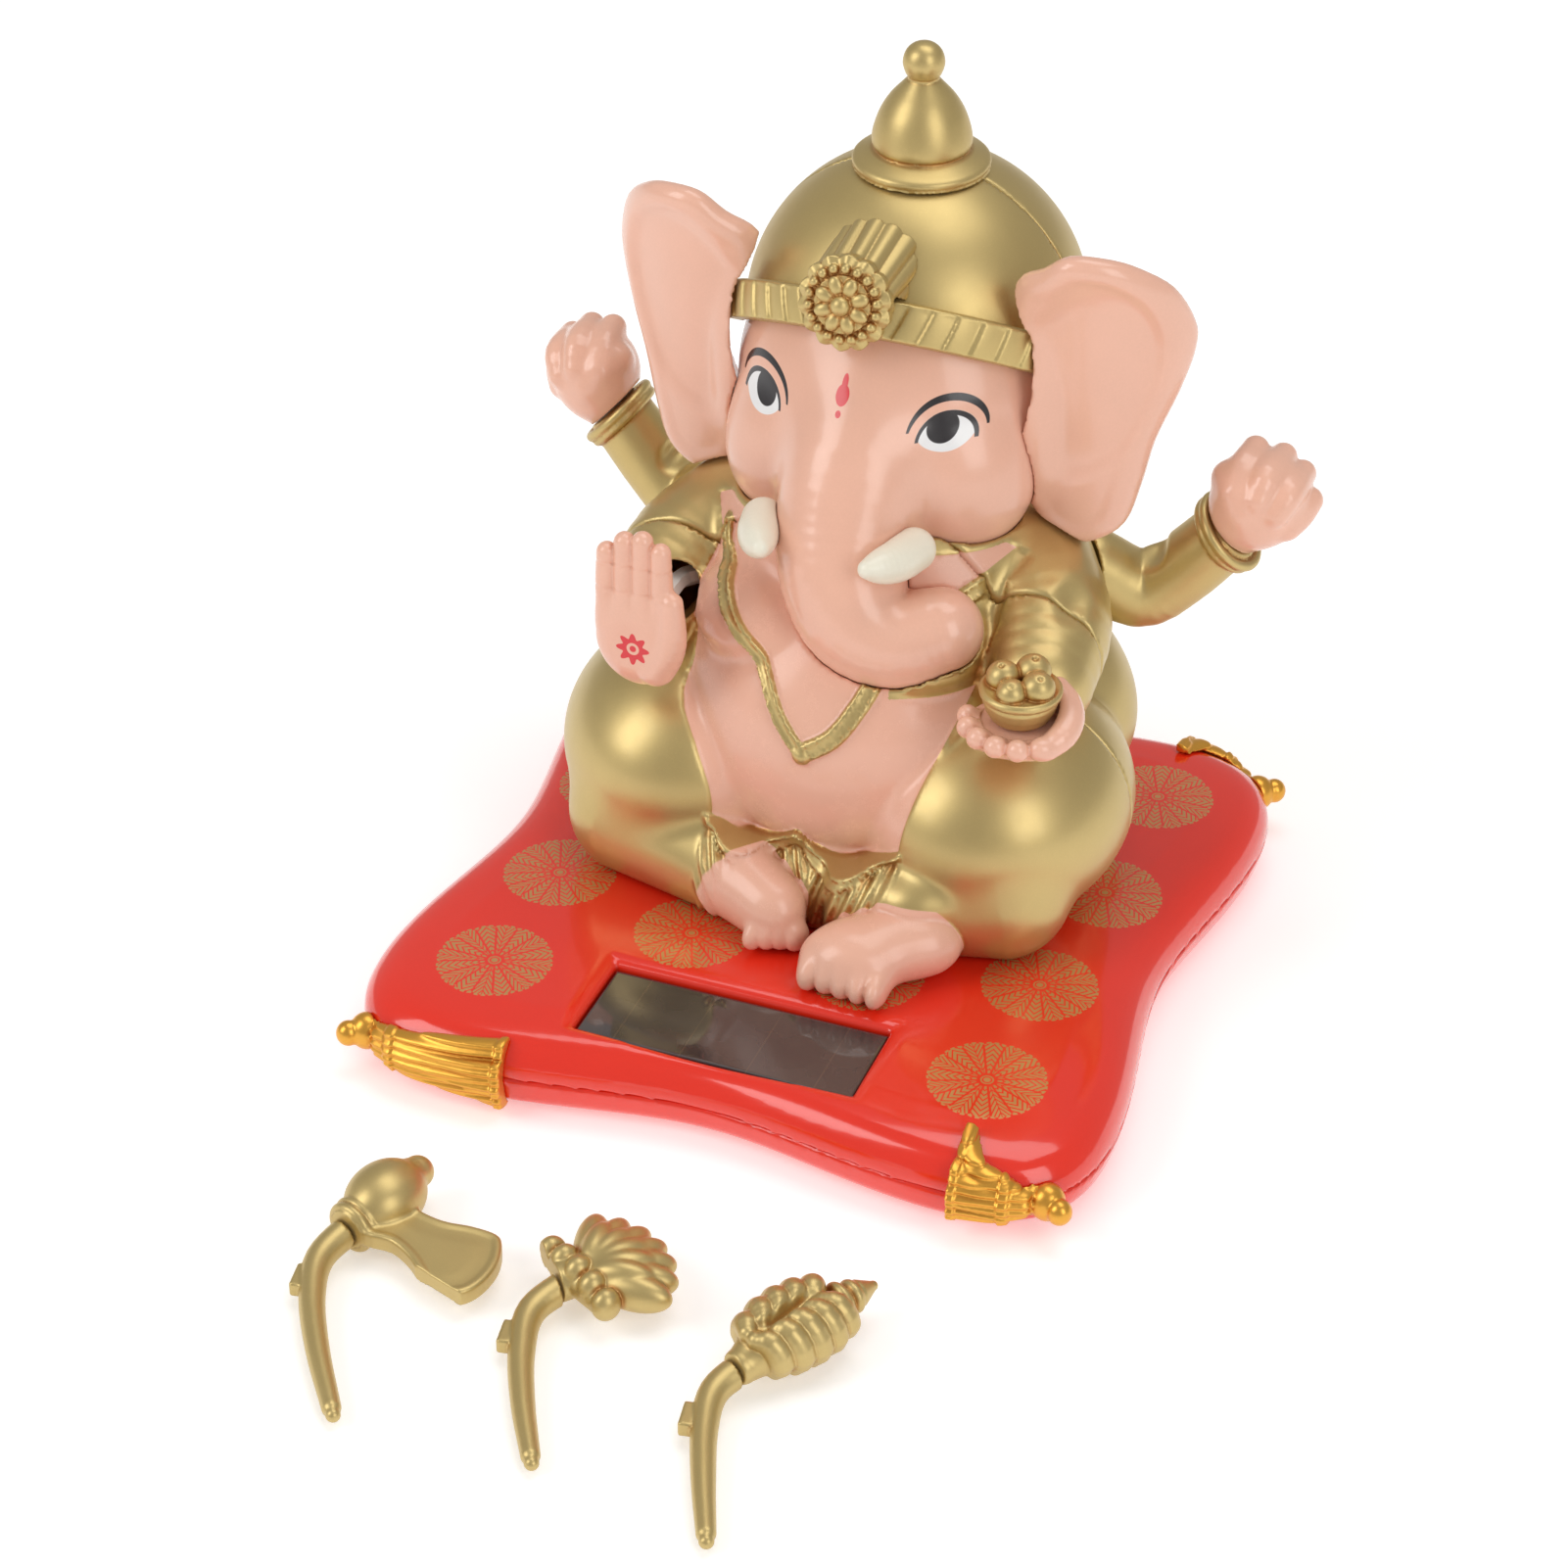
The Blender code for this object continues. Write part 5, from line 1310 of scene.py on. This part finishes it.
def axe(p):
    """A ringed socket, a round poll with a cap, and a flat blade that flares to the cutting edge."""
    d = limb(p, ((-35.3, -89.0, 3.9), (-34.5, -86.8, 4.1)), (2.9, 3.2))
    d = join(d, ball(p, (-33.0, -82.4, 4.9), (5.2, 6.3, 4.7), (0, 0, -14)), 0.5)
    heading = np.array([0.309, 0.951, 0.0])
    for at, width, tube in (((-35.2, -88.5, 3.7), 3.0, 0.75), ((-34.9, -87.4, 3.9), 3.15, 0.6)):
        q = p - np.array(at)
        w = q @ heading
        r = np.sqrt(np.maximum((q * q).sum(1) - w * w, 0))
        d = join(d, np.hypot(r - width, w) - tube, 0.15)
    cap = limb(p, ((-31.8, -78.0, 5.0), (-31.2, -76.3, 5.0)), (2.9, 2.3))
    d = join(d, cap, 0.3)
    flat = polygon(p[:, 0], p[:, 1], BLADE)
    off = np.abs(p[:, 2] - 3.9 + (p[:, 0] + 30) * 0.03)
    thick = 1.15 + 0.16 * ramp(flat, -1.5, -0.7) + 0.05 * ramp(-flat, 2, 4)
    u, w = np.maximum(flat + 0.5, 0), np.maximum(off - thick + 0.5, 0)
    blade = np.hypot(u, w) + np.minimum(np.maximum(flat + 0.5, off - thick + 0.5), 0) - 0.5
    return join(d, blade, 0.7)


def lotus(p):
    """Long petals, five shorter ones over them, fan out of a ring of five knobs."""
    root = np.array([-1.4, -87.4])
    d = ball(p, (1.4, -83.8, 4.4), (6.6, 6.6, 3.3))
    rows = ((np.linspace(0, 106, 7), 11.6, 4.6, 2.8, 2.5), (np.linspace(10, 96, 5), 9.0, 5.8, 2.5, 2.1))
    for fan, far, height, thick, wide in rows:
        layer = None
        for turn in fan:
            angle = math.radians(turn)
            at = root + far * 0.56 * np.array([math.cos(angle), math.sin(angle)])
            petal = ball(p, (*at, height), (far * 0.5, wide, thick), (0, 0, turn))
            layer = petal if layer is None else join(layer, petal, 0.35)
        d = join(d, layer, 0.3)
    along = np.array([0.843, -0.537])
    for t, height in ((-6.4, 4.6), (-3.3, 5.4), (0.0, 5.7), (3.3, 5.4), (6.4, 4.6)):
        at = np.array([-2.3, -87.6]) + along * t
        d = join(d, ball(p, (*at, height), (1.8, 2.1, 2.4), (0, 0, -32.5)), 0.2)
    d = join(d, limb(p, ((-6.4, -85.0, 4.2), (-2.3, -87.6, 4.4), (1.9, -90.2, 4.2)), (1.9, 2.3, 1.9)), 0.3)
    return join(d, limb(p, ((-5.4, -88.9, 3.6), (-3.2, -86.9, 4.2)), (2.7, 2.9)), 0.3)


CONCH_AT = (27.4, -87.2, 5.0)
CONCH_TURN = (0, 0, -28)


def conch(p):
    """A slit body with five ribs down each side, two rings and a point."""
    d = limb(p, ((23.6, -94.6, 3.9), (24.6, -92.5, 4.2)), (2.5, 3.0))
    d = join(d, ball(p, CONCH_AT, (4.8, 8.0, 4.4), CONCH_TURN), 1.0)
    q = (p - CONCH_AT) @ turned(CONCH_TURN)
    for i in range(5):
        t = i / 4
        at = np.array([0.0, -5.6 + 11.2 * t, 0.0])
        width = 5.4 * math.sqrt(max(0.05, 1 - (at[1] / 8.6) ** 2)) + 0.35
        for way in (-1, 1):
            line = (
                (way * 0.9, at[1] - 0.9, 3.1 * width / 5),
                (way * width * 0.55, at[1] + 0.3, 2.7 * width / 5),
                (way * width * 0.84, at[1] + 0.9, 0.0),
                (way * width * 0.6, at[1] + 0.8, -2.6 * width / 5),
            )
            rib = limb(q, *curve(line, (1.3, 1.75, 1.8, 1.2), 3))
            d = join(d, rib, 0.35)
    slit = ball(q, (0.2, -0.6, 4.6), (0.8, 5.6, 1.9), (0, 0, 6))
    d = cut(d, slit, 0.9)
    tip = np.array([31.2, -80.0, 4.8])
    heading = np.array([0.5, 0.866, -0.04])
    for i, width in enumerate((2.9, 2.4)):
        d = join(d, ball(p, tip + heading * (0.4 + 2.0 * i), (width, 1.35, width), (0, 0, -30)), 0.25)
    d = join(d, limb(p, (tip + heading * 3.6, tip + heading * 6.0), (1.9, 0.7)), 0.2)
    return d


def head_of(name, form):
    return lambda p: np.maximum(np.maximum(form(p), GAP / 2 - past_joint(p, name)), 0.25 - p[:, 2])


for name, node, form in (("axe", "axe_head", axe), ("lotus", "lotus_bud", lotus), ("conch", "conch_shell", conch)):
    for part, field in ((f"{name}_stem", stem(name)), (node, head_of(name, form))):
        solid(f"{part}_fine", field, *room_of(part, 0.8), 0.24, name, [part], "gold", gold_paint, reach=0.9)

# ------------------------------------------------------------------ inner pieces

INNER = {
    "board": plain_look("board_green", (0.05, 0.28, 0.12), 0.45, 0.0, 0.6),
    "chip": plain_look("chip_black", (0.03, 0.03, 0.03), 0.6, 0.0, 0.3),
    "metal": plain_look("turned_steel", (0.62, 0.62, 0.64), 0.3, 1.0, 0.5, 0.12, (1, 1, 8)),
    "white_plastic": plain_look("white_plastic", (0.82, 0.81, 0.78), 0.42, 0.0, 0.7),
    "copper_wire": plain_look("wound_copper", (0.72, 0.33, 0.15), 0.3, 0.9, 0.4, 0.4, (1, 1, 12)),
    "black_lead": plain_look("black_lead", (0.03, 0.03, 0.03), 0.5, 0.0, 0.5),
    "red_lead": plain_look("red_lead", (0.65, 0.05, 0.04), 0.45, 0.0, 0.5),
}
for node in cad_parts.values():
    for held in node.material_slots:
        for title, look in INNER.items():
            if held.material and held.material.name.split(".")[0].endswith(title):
                held.material = look

# ------------------------------------------------------------------ stage, light and camera


def area_light(name, at, size, power, target=(0, 0, 0.05), tint=(1, 1, 1)):
    data = bpy.data.lights.new(name, "AREA")
    data.shape = "RECTANGLE"
    data.size, data.size_y = size
    data.energy = power
    data.color = tint
    lamp = bpy.data.objects.new(name, data)
    lamp.location = at
    lamp.rotation_euler = (Vector(target) - Vector(at)).to_track_quat("-Z", "Y").to_euler()
    bpy.context.scene.collection.objects.link(lamp)
    return lamp


area_light("softbox_left", (-0.75, -0.65, 0.75), (0.55, 0.8), 4.6)
area_light("softbox_right", (0.85, -0.55, 0.6), (0.5, 0.8), 3.2)
area_light("softbox_top", (0.1, 0.25, 1.1), (0.9, 0.6), 3.6)

world = bpy.data.worlds.new("studio")
world.use_nodes = True
world.node_tree.nodes["Background"].inputs["Color"].default_value = (1.0, 0.985, 0.965, 1)
world.node_tree.nodes["Background"].inputs["Strength"].default_value = 0.4
bpy.context.scene.world = world
bpy.context.scene.view_settings.view_transform = "Standard"

FLOOR_HALF = 4.0
floor_mesh = bpy.data.meshes.new("floor")
corners = [(x * FLOOR_HALF, y * FLOOR_HALF, -0.0004) for x, y in ((-1, -1), (1, -1), (1, 1), (-1, 1))]
floor_mesh.from_pydata(corners, [], [(0, 1, 2, 3)])
floor = bpy.data.objects.new("floor", floor_mesh)
bpy.context.scene.collection.objects.link(floor)
floor_paint = bpy.data.materials.new("floor_white")
floor_paint.use_nodes = True
floor_shader = floor_paint.node_tree.nodes["Principled BSDF"]
floor_shader.inputs["Base Color"].default_value = (0.9, 0.9, 0.9, 1)
floor_shader.inputs["Roughness"].default_value = 0.7
floor_shader.inputs["Specular IOR Level"].default_value = 0.1
floor_shader.inputs["Emission Color"].default_value = (1, 1, 1, 1)
floor_shader.inputs["Emission Strength"].default_value = 0.35
floor_mesh.materials.append(floor_paint)

AZIMUTH, ELEVATION, ROLL = (math.radians(a) for a in (21.154, 34.533, -0.234))
AIM = Vector((-0.005916, -0.004185, 0.029208))
DISTANCE = 0.578676
level = math.cos(ELEVATION)
back = Vector((math.sin(AZIMUTH) * level, -math.cos(AZIMUTH) * level, math.sin(ELEVATION)))
lens = bpy.data.cameras.new("camera")
lens.sensor_width = 36.0
lens.lens = 92.04
lens.clip_start = 0.01
camera = bpy.data.objects.new("camera", lens)
camera.location = AIM + back * DISTANCE
camera.rotation_mode = "QUATERNION"
camera.rotation_quaternion = (-back).to_track_quat("-Z", "Y") @ Quaternion((0, 0, 1), -ROLL)
bpy.context.scene.collection.objects.link(camera)
bpy.context.scene.camera = camera
